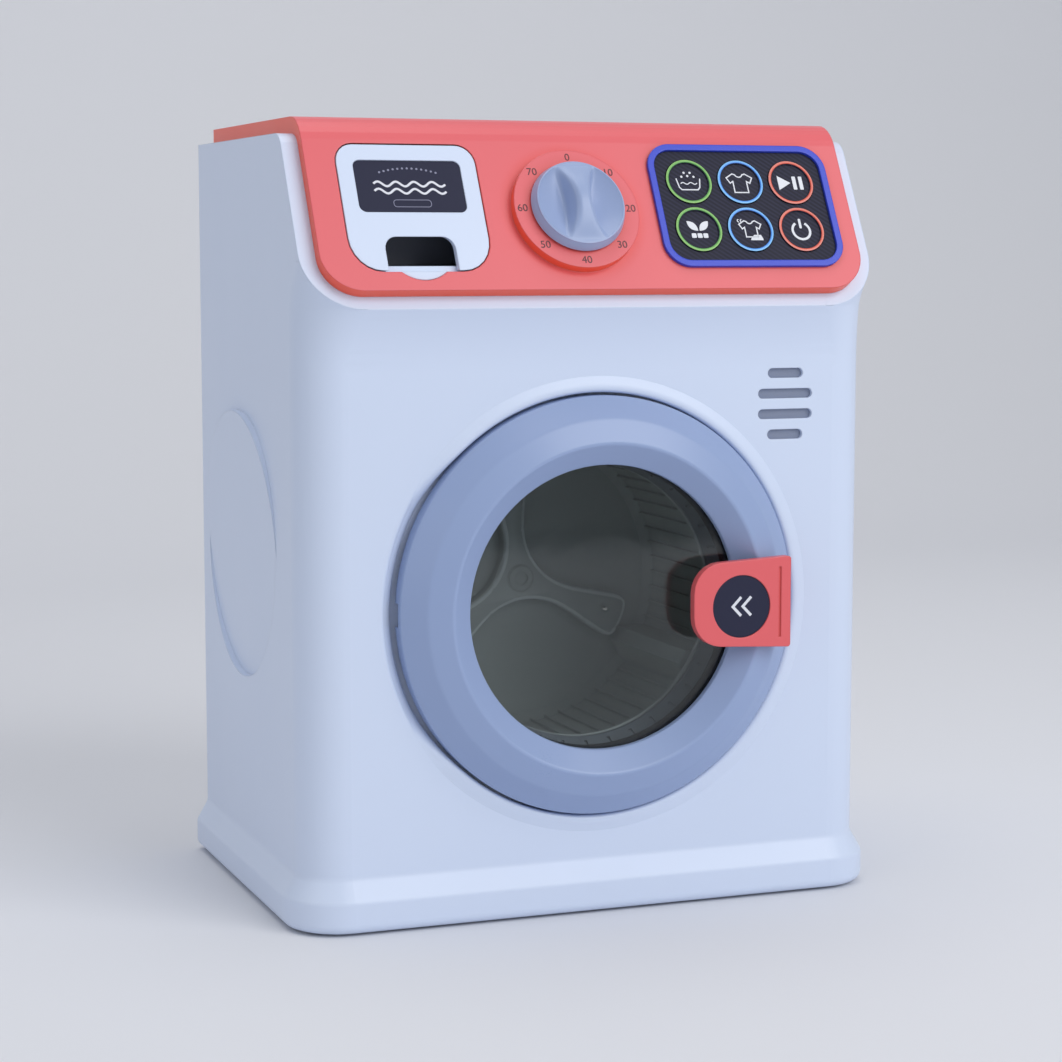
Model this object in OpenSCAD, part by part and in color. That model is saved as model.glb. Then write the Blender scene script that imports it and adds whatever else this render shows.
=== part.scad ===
// Toy front-loading washing machine.
// The origin lies on the floor, in the middle of the whole machine; the front faces -Y.
// Lengths are in millimetres.

/* [Cabinet] */
// Width of the cabinet's sides, without the skirt
body_w = 200; // [190:1:220]
// Depth of the cabinet, from the front face to the rear cover
body_d = 134; // [132:1:150]
// Height of the white cabinet under the top fascia
body_h = 256; // [252:1:275]
// Radius of the two upright front corners
corner_r = 15; // [10:1:22]
// Thickness of the cabinet's walls
wall = 2.4; // [2:0.1:3]
// How far the skirt stands out from the cabinet
skirt_out = 4; // [2:0.5:6]
// Height of the skirt where it meets the cabinet
skirt_h = 18; // [14:1:24]
// Gap between the skirt and the floor
skirt_gap = 0.8; // [0.4:0.1:1.2]
// Height of the door's centre above the floor
door_z = 102.8; // [98:0.2:106]
// Radius of the round relief on each side
side_disc_r = 45; // [36:1:50]

/* [Control panel] */
// Lean of the control panel from upright, in degrees
panel_tilt = 28.4; // [24:0.2:32]
// Height of the leaning control panel, from the rim's lower edge to the cabinet's top
panel_h = 55.5; // [52:0.5:57]
// How far the panel rim's lower edge stands in front of the cabinet
rim_out = 5.5; // [4:0.5:7]
// Radius of the panel rim's lower corners
rim_corner_r = 20; // [14:1:24]
// Height of the fascia's front above the panel rim
fascia_rise = 4.2; // [3.4:0.1:5]
// Height of the fascia's top above the cabinet's top
fascia_top = 5.5; // [4:0.5:7]
// Thickness of the fascia's shell
fascia_wall = 2.2; // [1.8:0.1:2.6]
// Radius of the bend between the fascia's front and top
fascia_bend_r = 14; // [10:1:18]
// Width of the white rim that shows beside the fascia
rim_show = 5.6; // [3:0.2:6]
// Height up the slope from the rim's lower edge to the fascia
fascia_foot = 4.5; // [3.5:0.1:6]

/* [Drawer] */
// Width of the drawer's front
drawer_w = 46.6; // [42:0.2:48]
// Width of the fascia beside the drawer
drawer_margin = 10.3; // [9:0.1:12]
// Height up the slope of the drawer front's lower edge
drawer_s = 11.5; // [11:0.5:13]
// Height of the drawer's front along the slope
drawer_h = 45.2; // [42:0.2:46]
// How far the drawer pulls out
drawer_travel = 40; // [30:1:45]
// Gap round the drawer's front
drawer_gap = 0.4; // [0.3:0.05:0.6]

/* [Dial] */
// How far the dial's centre lies right of the middle between drawer and touch panel
dial_shift = 0.9; // [0:0.1:1.6]
// Height up the slope of the dial's centre
dial_s = 32.2; // [31:0.1:35]
// Radius of the raised dial plate
dial_r = 21.5; // [20:0.5:22]
// Radius of the knob
knob_r = 16; // [14:0.5:17.5]
// Height of the knob above the dial plate
knob_h = 5.5; // [5:0.5:8]

/* [Touch panel] */
// Width of the fascia beside the touch panel
touch_margin = 6.3; // [6:0.1:7.5]
// Height up the slope of the touch panel's centre
touch_s = 35; // [34:0.1:36]
// Width of the touch panel with its blue frame
touch_w = 65.4; // [63:0.2:66]
// Height of the touch panel with its blue frame
touch_h = 45.7; // [44.5:0.1:46.5]
// Width of the blue frame
bezel_w = 2.2; // [1.8:0.1:2.6]
// Distance between the buttons across the machine
button_dx = 18.8; // [18:0.1:19]
// Distance between the two rows of buttons
button_ds = 17.9; // [17.6:0.1:18.2]
// Radius of a button
button_r = 8.2; // [7:0.1:8.3]
// Travel of a button
button_travel = 0.8; // [0.5:0.1:0.8]

/* [Door] */
// Radius of the door
door_r = 69.2; // [67:0.2:70]
// How far the door's crest stands in front of the cabinet
door_crest_out = 12.4; // [11:0.2:13]
// Distance from the door's edge in to its crest
door_crest_in = 15; // [13.4:0.2:16]
// Width of the door's ring, from its edge in to the window
ring_w = 22.3; // [21.4:0.1:24]
// Thickness of the window
window_t = 1.6; // [1.2:0.1:2]
// Depth of the round recess that the door closes into
recess_depth = 6; // [5.8:0.1:7]
// Gap between the door and the wall of its recess
recess_gap = 4; // [3:0.2:5]
// Radius of the hinge pin
hinge_pin_r = 1; // [0.8:0.1:1.1]
// Clearance between a pin and what turns on it
pin_clearance = 0.06; // [0.03:0.01:0.09]

/* [Latch] */
// Reach of the latch handle's front face in front of the cabinet
handle_out = 16.2; // [16:0.1:17.5]
// Height of the latch handle at its square end
handle_h = 30.4; // [27:0.2:32]
// Length of the latch handle
handle_l = 35; // [32:0.5:37]

/* [Drum] */
// How far the drum's mouth stands in from the edge of the window
mouth_in = 0.9; // [0:0.1:3]
// Free depth between the motor and the rear cover
motor_room = 6.7; // [3:0.1:9]
// Number of lifters in the drum
lifters = 3; // [2:1:5]
// Number of ribs along the drum's wall
drum_ribs = 24; // [12:1:30]
// Radius of the drum's shaft
shaft_r = 2.5; // [2:0.1:3]

/* [Gear train] */
// Gear module: pitch diameter over the number of teeth
gear_module = 0.8; // [0.75:0.01:0.82]
// Teeth of the drum's gear
drum_teeth = 56; // [50:1:58]
// Teeth of the small wheel of the reduction gear
small_teeth = 14; // [13:1:16]
// Teeth of the large wheel of the reduction gear
large_teeth = 40; // [36:1:42]
// Teeth of the motor's pinion
pinion_teeth = 12; // [12:1:14]
// Thickness of each gear wheel
gear_t = 3.6; // [3:0.1:4]

/* [Power] */
// Diameter of a battery cell
cell_d = 14.2; // [14:0.1:14.5]
// Length of a battery cell's can
cell_l = 49.2; // [48.5:0.1:49.5]
// Number of battery cells
cells = 3; // [2:1:3]

/* [Hidden] */
$fn = 96;

fit = 0.3;          // free gap between a moving piece and its neighbour
snug = 0.1;         // gap round a piece that drops into its seat
eps = 0.01;         // overshoot of a cut past a face
arc_steps = 6;      // straight steps in a rounded corner of a section

// Depths along Y are measured back from the cabinet's front face.
middle_y = (body_d - handle_out) / 2;
rear_t = 2.4;
rear_y = body_d - rear_t;

// Panel frame: X across, Y up the slope, Z out of the panel.
tilt_s = sin(panel_tilt);
tilt_c = cos(panel_tilt);
rim_z = body_h - panel_h;
fascia_half = body_w / 2 - rim_show;
drawer_x = -fascia_half + drawer_margin + drawer_w / 2;
touch_x = fascia_half - touch_margin - touch_w / 2;
dial_x = (drawer_x + drawer_w / 2 + touch_x - touch_w / 2) / 2 + dial_shift;
opening_lap = 3.2;                            // width of the cabinet's ledge under the fascia
opening_half = fascia_half - opening_lap;
fascia_corner_r = rim_corner_r - rim_show - 1;
fascia_in = fascia_rise - fascia_wall;        // panel height of the fascia's inner face
plate_rise = 3.2;                             // height of the dial plate above the fascia

// Door and recess, radii about the door's axis and depths from the front face.
recess_r = door_r + recess_gap;
door_crest_r = door_r - door_crest_in;
window_r = door_r - ring_w;
door_back_y = recess_depth - 3;
back_t = 2;
door_wall = 2.2;
shoulder_r = door_r - 7.2;
shoulder_y = -door_crest_out + 3.4;
rim_front_y = -2.5;
window_y = 5.8 - door_crest_out;              // front of the lip round the window
window_seat_y = window_y + door_wall;
window_back_y = window_seat_y + window_t;
window_rim = 3.4;
window_dome = 1.6;
collar_t = 2;
hinge_x = -(door_r - 4);
hinge_y = 0.8;
knuckle_r = hinge_pin_r + 1;
knuckle_half = 3.5;
lug_h = 5;

bracket_reach = 6;                            // from the hinge pin in to the bracket's inner edge
bracket_screw_x = hinge_x + 2.3;
bracket_screw_z = 8.6;
bracket_h = 25;
bracket_y = recess_depth + wall;

// Latch.
latch_x = door_r - 10.7;
latch_y = 4.4 - door_crest_out;
latch_boss_r = 3.1;
latch_half = 8.2;
latch_pin_r = 1;
handle_t = 3.1;
handle_x = latch_x + 3.8;                     // square end of the handle
badge_r = 10.4;
hook_x = latch_x + 8.1;
arm_t = 2.6;
arm_half = 4.8;
hook_y = recess_depth + wall + 0.4;
hook_t = 2;

// Interlock pin that feels the closed door.
interlock_radius = door_r - 6;
interlock_angle = -36;
interlock_tip_r = 2.2;
interlock_travel = 1.5;
interlock_x = interlock_radius * cos(interlock_angle);
interlock_z = door_z + interlock_radius * sin(interlock_angle);

// Drum, tub and mouth. The tub fits between the hinge's bracket and the latch.
drum_wall = 1.8;
tub_wall = 2;
tub_gap = 2;
tub_r = -hinge_x - bracket_reach - 0.7;
tub_in = tub_r - tub_wall;
drum_r = tub_in - tub_gap;
mouth_r = window_r - mouth_in;
mouth_seat_r = tub_in - 0.5;
mouth_end_y = recess_depth + wall + 6;
drum_y = mouth_end_y + 1.5;
tub_back_t = 2.4;
gear_cover_t = 2;
gear_gap = 1.4;                               // free depth in front of the drum's gear
wheel_gap = 0.8;                              // free depth between the two rows of wheels
cover_gap = 1.2;                              // free depth behind the large wheel
gear_depth = gear_gap + gear_t + wheel_gap + gear_t + cover_gap + gear_cover_t;
motor_l = 22;
terminal_l = 3;
tub_end_y = rear_y - motor_room - terminal_l - motor_l - gear_depth - tub_back_t;
drum_end_y = tub_end_y - 3;
drum_d = drum_end_y - drum_y;
bush_r = shaft_r + 2;
hub_r = bush_r + 3;
bush_l = 8;
tub_ear_angles = [20, 110, 200, 290];
tub_ear_r = tub_r + 5.5;
tub_ears = [for (a = tub_ear_angles) [tub_ear_r * cos(a), door_z + tub_ear_r * sin(a)]];

// Gear train, behind the tub.
drum_gear_y = tub_end_y + tub_back_t + gear_gap;
large_gear_y = drum_gear_y + gear_t + wheel_gap;
gear_cover_y = large_gear_y + gear_t + cover_gap;
drum_pitch_r = gear_module * drum_teeth / 2;
small_pitch_r = gear_module * small_teeth / 2;
large_pitch_r = gear_module * large_teeth / 2;
pinion_pitch_r = gear_module * pinion_teeth / 2;
mesh_slack = 0.1;                             // extra distance between two meshing gears
reduction_angle = -60;
motor_angle = -8;
reduction_dist = drum_pitch_r + small_pitch_r + mesh_slack;
motor_dist = large_pitch_r + pinion_pitch_r + mesh_slack;
reduction_x = reduction_dist * cos(reduction_angle);
reduction_z = door_z + reduction_dist * sin(reduction_angle);
motor_x = reduction_x + motor_dist * cos(motor_angle);
motor_z = reduction_z + motor_dist * sin(motor_angle);
axle_r = 1.5;
motor_r = 10;
motor_flat = 7.6;
motor_shaft_r = 1;
post_r = 3;
gear_posts = [[-20, 22], [22, 16], [-22, -18], [48, -18]];

// Speaker behind its slots.
speaker_r = 15.5;
speaker_dist = recess_r + wall + speaker_r + 2.5;
speaker_angle = 43.9;
speaker_x = speaker_dist * cos(speaker_angle);
speaker_z = door_z + speaker_dist * sin(speaker_angle);
slot_h = 3.3;
slot_pitch = 6.85;
slot_lengths = [13, 20, 20, 13];

// Battery bay in the rear cover.
bay_wall = 1.8;
bay_gap = 0.4;
contact_space = 5;
bay_w = cell_l + 2 * contact_space;
bay_h = cells * (cell_d + bay_gap) + bay_gap;
bay_d = cell_d + 1.4;
bay_z = 11;
hatch_lip = 2;
hatch_tab_r = 5;
hatch_screw_z = bay_z + 2 * bay_wall + bay_h + 3.2;

// Base.
foot_h = 1.5;
foot_r = 7;
foot_inset = 20;
base_t = 2.4;
base_z = foot_h;

// Screws.
screw_r = 1.3;
screw_head_r = 2.7;
screw_head_h = 1.5;
boss_r = 4;
boss_x = body_w / 2 - wall - boss_r + 0.8;
rear_screw_z = [22, 128, body_h - 14];
base_screw_y = [26, body_d - 20];

// Touch panel, heights out of the panel.
touch_corner_r = 9;
plate_top = fascia_rise + 0.3;
plate_t = 1.8;
button_top = plate_top + 0.4;
flange_t = 1;
flange_top = plate_top - plate_t - snug;
flange_r = button_r + 0.6;
dome_top = flange_top - flange_t - button_travel - snug;
dome_r = 4;
pad_t = 0.8;
board_top = dome_top - 2.1;
board_t = 1.6;
board_w = 67;
board_h = 48;
board_corner_r = 3.5;
board_post = [board_w / 2 - 2.2, board_h / 2 - 2.6];
board_post_r = 2.2;

// ---------- helpers ----------

// The whole machine is centred front to back about the origin.
module centred() translate([0, -middle_y, 0]) children();

// Polygon corners with radii, [x, y, r], as a list of points with round corners.
function unit(v) = v / norm(v);
function corner(a, b, c, r) =
    let (u = unit([a[0] - b[0], a[1] - b[1]]), w = unit([c[0] - b[0], c[1] - b[1]]),
         half = acos(u * w) / 2, cut = r / tan(half), mid = unit(u + w) * (r / sin(half)),
         o = [b[0], b[1]] + mid, p = [b[0], b[1]] + u * cut - o, q = [b[0], b[1]] + w * cut - o,
         start = atan2(p[1], p[0]), turn = atan2(p[0] * q[1] - p[1] * q[0], p * q))
    [for (i = [0:arc_steps]) o + r * [cos(start + turn * i / arc_steps), sin(start + turn * i / arc_steps)]];
function rounded(points) = [for (i = [0:len(points) - 1])
    let (n = len(points), b = points[i], r = len(b) > 2 ? b[2] : 0)
    each r > 0 ? corner(points[(i + n - 1) % n], b, points[(i + 1) % n], r) : [[b[0], b[1]]]];

// A rectangle with round corners, centred, of exact arcs.
module round_rect(w, h, r) {
    square([w - 2 * r, h], center = true);
    square([w, h - 2 * r], center = true);
    for (x = [-1, 1], y = [-1, 1]) translate([x * (w / 2 - r), y * (h / 2 - r)]) circle(r);
}

// A strip that stands on y = 0, with round lower corners.
module footed_strip(half, r, height) {
    translate([-half, r]) square([2 * half, height - r]);
    translate([-half + r, 0]) square([2 * (half - r), r + eps]);
    for (x = [-1, 1]) translate([x * (half - r), r]) circle(r);
}

// Extrudes an outline in X and Z from depth y0 back to depth y1.
module deep(y0, y1) translate([0, y1, 0]) rotate([90, 0, 0]) linear_extrude(y1 - y0) children();

// Extrudes an outline in Y and Z across the machine.
module across(width) rotate([90, 0, 90]) linear_extrude(width, center = true) children();

// A rod along Y.
module rod(x, z, y0, y1, r) translate([x, y1, z]) rotate([90, 0, 0]) cylinder(h = y1 - y0, r = r);

// Turns a section of [radius, depth] points about the door's axis.
module turned(points, x = 0, z = door_z)
    translate([x, 0, z]) rotate([90, 0, 0]) rotate_extrude($fn = 144)
        polygon([for (p = points) [p[0], -p[1]]]);

// Moves its children into the panel frame.
module on_panel(x = 0, s = 0, h = 0)
    translate([0, -rim_out, rim_z]) rotate([90 - panel_tilt, 0, 0]) translate([x, s, h]) children();

// Plan of the cabinet with round front corners, drawn in by inset.
module plan(inset) {
    r = corner_r - inset;
    translate([-body_w / 2 + inset, corner_r]) square([body_w - 2 * inset, body_d - corner_r]);
    translate([-body_w / 2 + corner_r, inset]) square([body_w - 2 * corner_r, corner_r]);
    for (x = [-1, 1]) translate([x * (body_w / 2 - corner_r), corner_r]) circle(r);
}

// Side section under a leaning front and a flat top: rise moves the front out of the panel,
// up moves the top, bend rounds the corner between them.
module side_section(rise, up, bend, foot_z, back_y) {
    top = body_h + up;
    front_y = function (z) -rim_out - rise / tilt_c + (z - rim_z) * tilt_s / tilt_c;
    polygon(rounded([[front_y(foot_z), foot_z], [front_y(top), top, bend], [back_y, top],
        [back_y, foot_z]]));
}

// A pan-head screw: the head sits on h = 0 and the shank runs down -Z.
module screw(length) {
    difference() {
        cylinder(h = screw_head_h, r = screw_head_r, $fn = 32);
        translate([0, 0, screw_head_h]) {
            cube([0.8, 3, 1.8], center = true);
            cube([3, 0.8, 1.8], center = true);
        }
    }
    translate([0, 0, -length]) cylinder(h = length + eps, r = screw_r, $fn = 32);
}

// ---------- cabinet ----------

low_z = 150;        // height from which the panel's section is drawn

// Cove that carries the rim's lower edge, and its round corners, back to the cabinet's front.
// It is a stack of slabs, each with the corner radius of the cabinet's outline at its height.
cove_drop = 20.5;
cove_levels = [rim_z - cove_drop, rim_z - 15, rim_z - 10.5, rim_z - 7, rim_z - 3.5, rim_z, rim_z + 2.5,
    rim_z + 5, rim_z + 7.5, rim_z + 10, rim_z + 12.5, rim_z + 15];
rim_corner_z = rim_z + rim_corner_r * tilt_c;
function ease(t) = (1 - min(t, 1)) * (1 - min(t, 1));
function cove_front(z) = -rim_out * ease((rim_z - z) / cove_drop);
function cove_side(z) = corner_r
    + (rim_corner_r * tilt_s - rim_out - corner_r) * ease((rim_corner_z - z) / cove_drop);
function cove_r(z) = z < rim_z + 0.1 ? cove_side(z) - cove_front(z) :
    let (f = asin(1 - (z - rim_z) / tilt_c / rim_corner_r), a = rim_corner_r * (1 - cos(f)),
         b = cove_side(z) + rim_out - rim_corner_r * (1 - sin(f)) * tilt_s)
    (a * a + b * b) / (2 * a);
module cove() intersection() {
    for (i = [0:len(cove_levels) - 2]) let (z = cove_levels[i], up = cove_levels[i + 1],
        r = (cove_r(z) + cove_r(up)) / 2, y = (cove_side(z) + cove_side(up)) / 2) translate([0, 0, z - eps]) {
        for (side = [-1, 1]) translate([side * (body_w / 2 - r), y, 0])
            cylinder(h = up - z + 2 * eps, r1 = cove_r(z), r2 = cove_r(up));
        translate([r - body_w / 2, -20, 0]) cube([body_w - 2 * r, 45, up - z + 2 * eps]);
        translate([-body_w / 2, y, 0]) cube([body_w, 25 - y, up - z + 2 * eps]);
    }
    across(body_w) polygon(concat([[25, rim_z - cove_drop]],
        [for (z = [rim_z - cove_drop:cove_drop / 6:rim_z - 0.1]) [cove_front(z), z]],
        [[-rim_out, rim_z], [-rim_out + 15 * tilt_s / tilt_c, rim_z + 15], [25, rim_z + 15]]));
}

module rim() intersection() {
    on_panel() translate([0, 0, -corner_r]) linear_extrude(corner_r)
        footed_strip(body_w / 2, rim_corner_r, 90);
    across(body_w) union() {
        side_section(0, 0, 8, low_z, body_d);
        translate([30, low_z]) square([body_d - 30, body_h - low_z]);
    }
}

// Section of the skirt: distance out from the wall's inner face, height.
module skirt_section(inner) {
    polygon(rounded([[inner, skirt_gap], [skirt_out, skirt_gap, 3], [skirt_out, skirt_h - 7, 3],
        [0, skirt_h, 4], [0, skirt_h + 3], [inner, skirt_h + 3]]));
}

module skirt(inner) {
    depth = body_d - corner_r;
    for (side = [-1, 1]) {
        translate([side * body_w / 2, body_d - depth / 2, 0]) rotate([90, 0, side < 0 ? 180 : 0])
            linear_extrude(depth, center = true) skirt_section(inner);
        translate([side * (body_w / 2 - corner_r), corner_r, 0]) rotate([0, 0, side < 0 ? 180 : 270])
            rotate_extrude(angle = 90) translate([corner_r, 0]) skirt_section(inner);
    }
    rotate([90, 0, -90]) linear_extrude(body_w - 2 * corner_r, center = true) skirt_section(inner);
}

module cabinet_block() {
    intersection() {
        translate([0, 0, skirt_h]) linear_extrude(body_h - skirt_h) plan(0);
        across(body_w) union() {
            translate([-1, 0]) square([body_d + 1, low_z + eps]);
            side_section(0, 0, 8, low_z, body_d);
        }
    }
    rim();
    cove();
    skirt(-wall);
}

module cabinet_hollow() intersection() {
    translate([0, 0, -1]) linear_extrude(body_h) plan(wall);
    across(body_w) union() {
        translate([-1, -2]) square([body_d + 2, low_z + 3]);
        side_section(-wall, -wall, 6, low_z, body_d + 1);
    }
}

// Cut that opens the cabinet's leaning front and top under the fascia.
module fascia_opening() intersection() {
    on_panel(0, fascia_foot + opening_lap, -200)
        linear_extrude(240) footed_strip(opening_half, fascia_corner_r - opening_lap, 240);
    across(body_w) difference() {
        side_section(1, 1, 9, low_z, body_d - 8);
        side_section(-wall - 1, -wall - 1, 5, low_z - 1, body_d - 7);
    }
}

// Shallow dished disc in each side, sunk at its top and proud at its foot.
side_disc_y = 79.8;
side_disc_z = door_z + 15.2;
side_disc_lean = 3;
module side_disc_cut(side) translate([side * body_w / 2, side_disc_y, side_disc_z])
    rotate([0, side * 90 + side_disc_lean * side, 0]) cylinder(h = 6, r = side_disc_r);
module side_disc_back(side) intersection() {
    translate([side * body_w / 2, side_disc_y, side_disc_z]) rotate([0, side * 90 + side_disc_lean * side, 0])
        translate([0, 0, -wall]) cylinder(h = wall, r = side_disc_r + 1.5);
    translate([side * (body_w / 2 + 1), body_d / 2, door_z]) cube([12, body_d, 200], center = true);
}

module speaker_slots() for (i = [0:3])
    translate([speaker_x, 0, speaker_z + (1.5 - i) * slot_pitch]) deep(-1, wall + 1) {
        square([slot_lengths[i] - slot_h, slot_h], center = true);
        for (x = [-1, 1]) translate([x * (slot_lengths[i] - slot_h) / 2, 0]) circle(slot_h / 2, $fn = 32);
    }

latch_slot_x0 = latch_x + 0.6;
latch_slot_x1 = hook_x + 0.6;
module cabinet_shell() color("white") centred() {
    difference() {
        union() {
            difference() {
                cabinet_block();
                cabinet_hollow();
                for (side = [-1, 1]) side_disc_cut(side);
            }
            for (side = [-1, 1]) side_disc_back(side);
            // Cup behind the door.
            rod(0, door_z, wall / 2, recess_depth + wall, recess_r + wall);
            // Seat round the speaker.
            difference() {
                rod(speaker_x, speaker_z, wall / 2, wall + 3, speaker_r + 1.7);
                rod(speaker_x, speaker_z, wall, wall + 4, speaker_r + snug);
            }
            // Guide of the interlock pin.
            rod(interlock_x, interlock_z, recess_depth, recess_depth + wall + 7.6, interlock_tip_r + 2.1);
            // Bosses for the rear cover and the base plate.
            for (x = [-boss_x, boss_x], z = rear_screw_z) rod(x, z, rear_y - 14, rear_y, boss_r);
            for (x = [-boss_x, boss_x], y = base_screw_y)
                translate([x, y, base_z + base_t]) cylinder(h = 12, r = boss_r);
            // Bosses for the tub.
            for (p = tub_ears) rod(p[0], p[1], recess_depth, recess_depth + wall + 3, boss_r);
        }
        turned([[0, -30], [recess_r + 2, -30], [recess_r + 2, -eps], for (a = [0:15:90])
            [recess_r + 2 - 2 * sin(a), 2 - 2 * cos(a)], [recess_r, recess_depth], [0, recess_depth]]);
        rod(0, door_z, 0, recess_depth + wall + 1, mouth_seat_r + snug);
        speaker_slots();
        fascia_opening();
        // Slots for the door's knuckle and for the latch hook.
        translate([hinge_x + 2.7, recess_depth - 1, door_z - knuckle_half - fit])
            cube([3.6, wall + 2, 2 * (knuckle_half + fit)]);
        translate([latch_slot_x0, recess_depth - 1, door_z - arm_half - 0.8])
            cube([latch_slot_x1 - latch_slot_x0, wall + 4, 2 * (arm_half + 0.8)]);
        // Bore and spring well of the interlock pin.
        rod(interlock_x, interlock_z, recess_depth - 1, 20, interlock_tip_r + pin_clearance);
        rod(interlock_x, interlock_z, recess_depth + wall, 30, interlock_tip_r + 1.1);
        for (x = [-boss_x, boss_x], z = rear_screw_z) rod(x, z, rear_y - 10, rear_y + 1, screw_r);
        for (x = [-boss_x, boss_x], y = base_screw_y)
            translate([x, y, base_z]) cylinder(h = 12, r = screw_r);
        for (p = tub_ears) rod(p[0], p[1], recess_depth + 1.2, recess_depth + wall + 4, screw_r);
        // Pilot holes of the hinge bracket.
        for (z = [-1, 1]) rod(bracket_screw_x, door_z + z * bracket_screw_z, recess_depth + 0.8,
            recess_depth + wall + 1, screw_r);
    }
}

rear_inset = wall + fit;
rib_t = 1.6;
rib_h = 5;
module rear_cover() color("whitesmoke") centred() difference() {
    union() {
        translate([-body_w / 2 + rear_inset, rear_y, base_z + base_t + fit])
            cube([body_w - 2 * rear_inset, rear_t, body_h - wall - base_z - base_t - 2 * fit]);
        // Battery bay.
        translate([-bay_w / 2 - bay_wall, rear_y - bay_d, bay_z])
            cube([bay_w + 2 * bay_wall, bay_d + eps, bay_h + 2 * bay_wall]);
        rod(0, hatch_screw_z, body_d - 9, rear_y + eps, 6.4);
        // Stiffening ribs on the inner face.
        for (x = [-60, 60]) translate([x - rib_t / 2, rear_y - rib_h, hatch_screw_z + 13])
            cube([rib_t, rib_h + eps, body_h - hatch_screw_z - 48]);
        for (drop = [61, 106]) translate([20 - body_w / 2, rear_y - rib_h, body_h - drop])
            cube([body_w - 40, rib_h + eps, rib_t]);
    }
    translate([-bay_w / 2, rear_y - bay_d + bay_wall, bay_z + bay_wall]) cube([bay_w, bay_d + 5, bay_h]);
    translate([-bay_w / 2 - hatch_lip, body_d - 1.6, bay_z + bay_wall - hatch_lip])
        cube([bay_w + 2 * hatch_lip, 5, bay_h + 2 * hatch_lip]);
    rod(0, hatch_screw_z, body_d - 3, body_d + 1, hatch_tab_r + 0.2);
    rod(0, hatch_screw_z, body_d - 3 - 5.5, body_d, screw_r);
    for (x = [-boss_x, boss_x], z = rear_screw_z) {
        rod(x, z, rear_y - 1, body_d + 1, screw_r + 0.3);
        rod(x, z, body_d - 1.6, body_d + 1, screw_head_r + 0.4);
    }
}

module base_plate() color("whitesmoke") centred() difference() {
    union() {
        translate([0, 0, base_z]) linear_extrude(base_t) intersection() {
            plan(wall + fit);
            translate([-body_w, 0]) square([2 * body_w, body_d - fit]);
        }
        for (x = [-50, 0, 50]) translate([x - rib_t / 2, foot_inset, base_z + base_t - eps])
            cube([rib_t, body_d - 2 * foot_inset - 19, 4]);
    }
    for (x = [-boss_x, boss_x], y = base_screw_y) translate([x, y, base_z - 1]) {
        cylinder(h = base_t + 2, r = screw_r + 0.3);
        cylinder(h = 2, r = screw_head_r + 0.4);
    }
}

module feet() color("dimgray") centred()
    for (x = [-1, 1], y = [foot_inset, body_d - foot_inset])
        translate([x * (body_w / 2 - foot_inset), y, 0]) cylinder(h = foot_h, r = foot_r);

// ---------- fascia ----------

button_places = [for (row = [1, -1], col = [-1, 0, 1])
    [touch_x + col * button_dx, touch_s + row * button_ds / 2]];
scallop_w = 15.2;
scallop_drop = 2.7;
scallop_x = drawer_x;

// Height above the floor of a point of the fascia's face, s up the slope.
function face_z(s) = rim_z + s * tilt_c + fascia_rise * tilt_s;
function face_y(s) = -rim_out + s * tilt_s - fascia_rise * tilt_c;

// Outline of the drawer's front in X and Z, grown by gap.
module drawer_outline(gap) {
    lo = face_z(drawer_s);
    hi = face_z(drawer_s + drawer_h);
    half = drawer_w / 2 + gap;
    polygon(rounded([[drawer_x - half, lo - gap, 10 + gap], [drawer_x + half, lo - gap, 10 + gap],
        [drawer_x + half, hi + gap, 6 + gap], [drawer_x - half, hi + gap, 6 + gap]]));
}
module scallop_outline(gap) {
    sag = scallop_drop + gap;
    r = (scallop_w * scallop_w / 4 + sag * sag) / (2 * sag);
    translate([scallop_x, face_z(drawer_s) - drawer_gap + r - sag]) circle(r);
}

module fascia_solid(rise, up, bend, inset) intersection() {
    on_panel(0, fascia_foot + inset, -200)
        linear_extrude(240) footed_strip(fascia_half - inset, fascia_corner_r - inset, 240);
    across(body_w) difference() {
        side_section(rise, up, bend, low_z, body_d - inset);
        if (inset == 0) side_section(0, 0, 8, low_z - 1, body_d + 1);
    }
}

module top_fascia() color("lightcoral") centred() difference() {
    union() {
        difference() {
            fascia_solid(fascia_rise, fascia_top, fascia_bend_r, 0);
            fascia_solid(fascia_in, fascia_top - fascia_wall, fascia_bend_r - fascia_wall, fascia_wall);
        }
        // Plate under the dial's numbers, and the boss round the knob's shaft.
        on_panel(dial_x, dial_s, fascia_rise - eps) cylinder(h = plate_rise + eps, r = dial_r);
        on_panel(dial_x, dial_s, wheel_top + fit) cylinder(h = fascia_in - wheel_top, r = knob_shaft_r + 2);
        // Posts that carry the control board.
        for (p = board_posts) on_panel(p[0], p[1], board_top)
            cylinder(h = fascia_rise - 1 - board_top, r = board_post_r);
        // Tongues that drop inside the cabinet's ledge.
        for (side = [-1, 1]) translate([side * (opening_half - snug - 0.8), 0, 0]) across(1.6)
            intersection() {
                difference() {
                    side_section(fascia_in + eps, fascia_top - fascia_wall + eps, fascia_bend_r - fascia_wall,
                        low_z, body_d - 8 - fit);
                    side_section(-wall, -wall, 6, low_z - 1, body_d);
                }
                translate([30, rim_z]) square([body_d, body_h]);
            }
    }
    on_panel(dial_x, dial_s, -30) cylinder(h = 60, r = knob_shaft_r + pin_clearance);
    on_panel(touch_x, touch_s, -1) linear_extrude(20)
        round_rect(touch_hole_w, touch_hole_h, touch_corner_r - bezel_w + spigot_t);
    for (p = board_posts) on_panel(p[0], p[1], board_top - 1) cylinder(h = 4.5, r = panel_screw_r);
    deep(-30, 60) {
        drawer_outline(drawer_gap);
        scallop_outline(0);
    }
}

// ---------- drawer ----------

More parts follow.
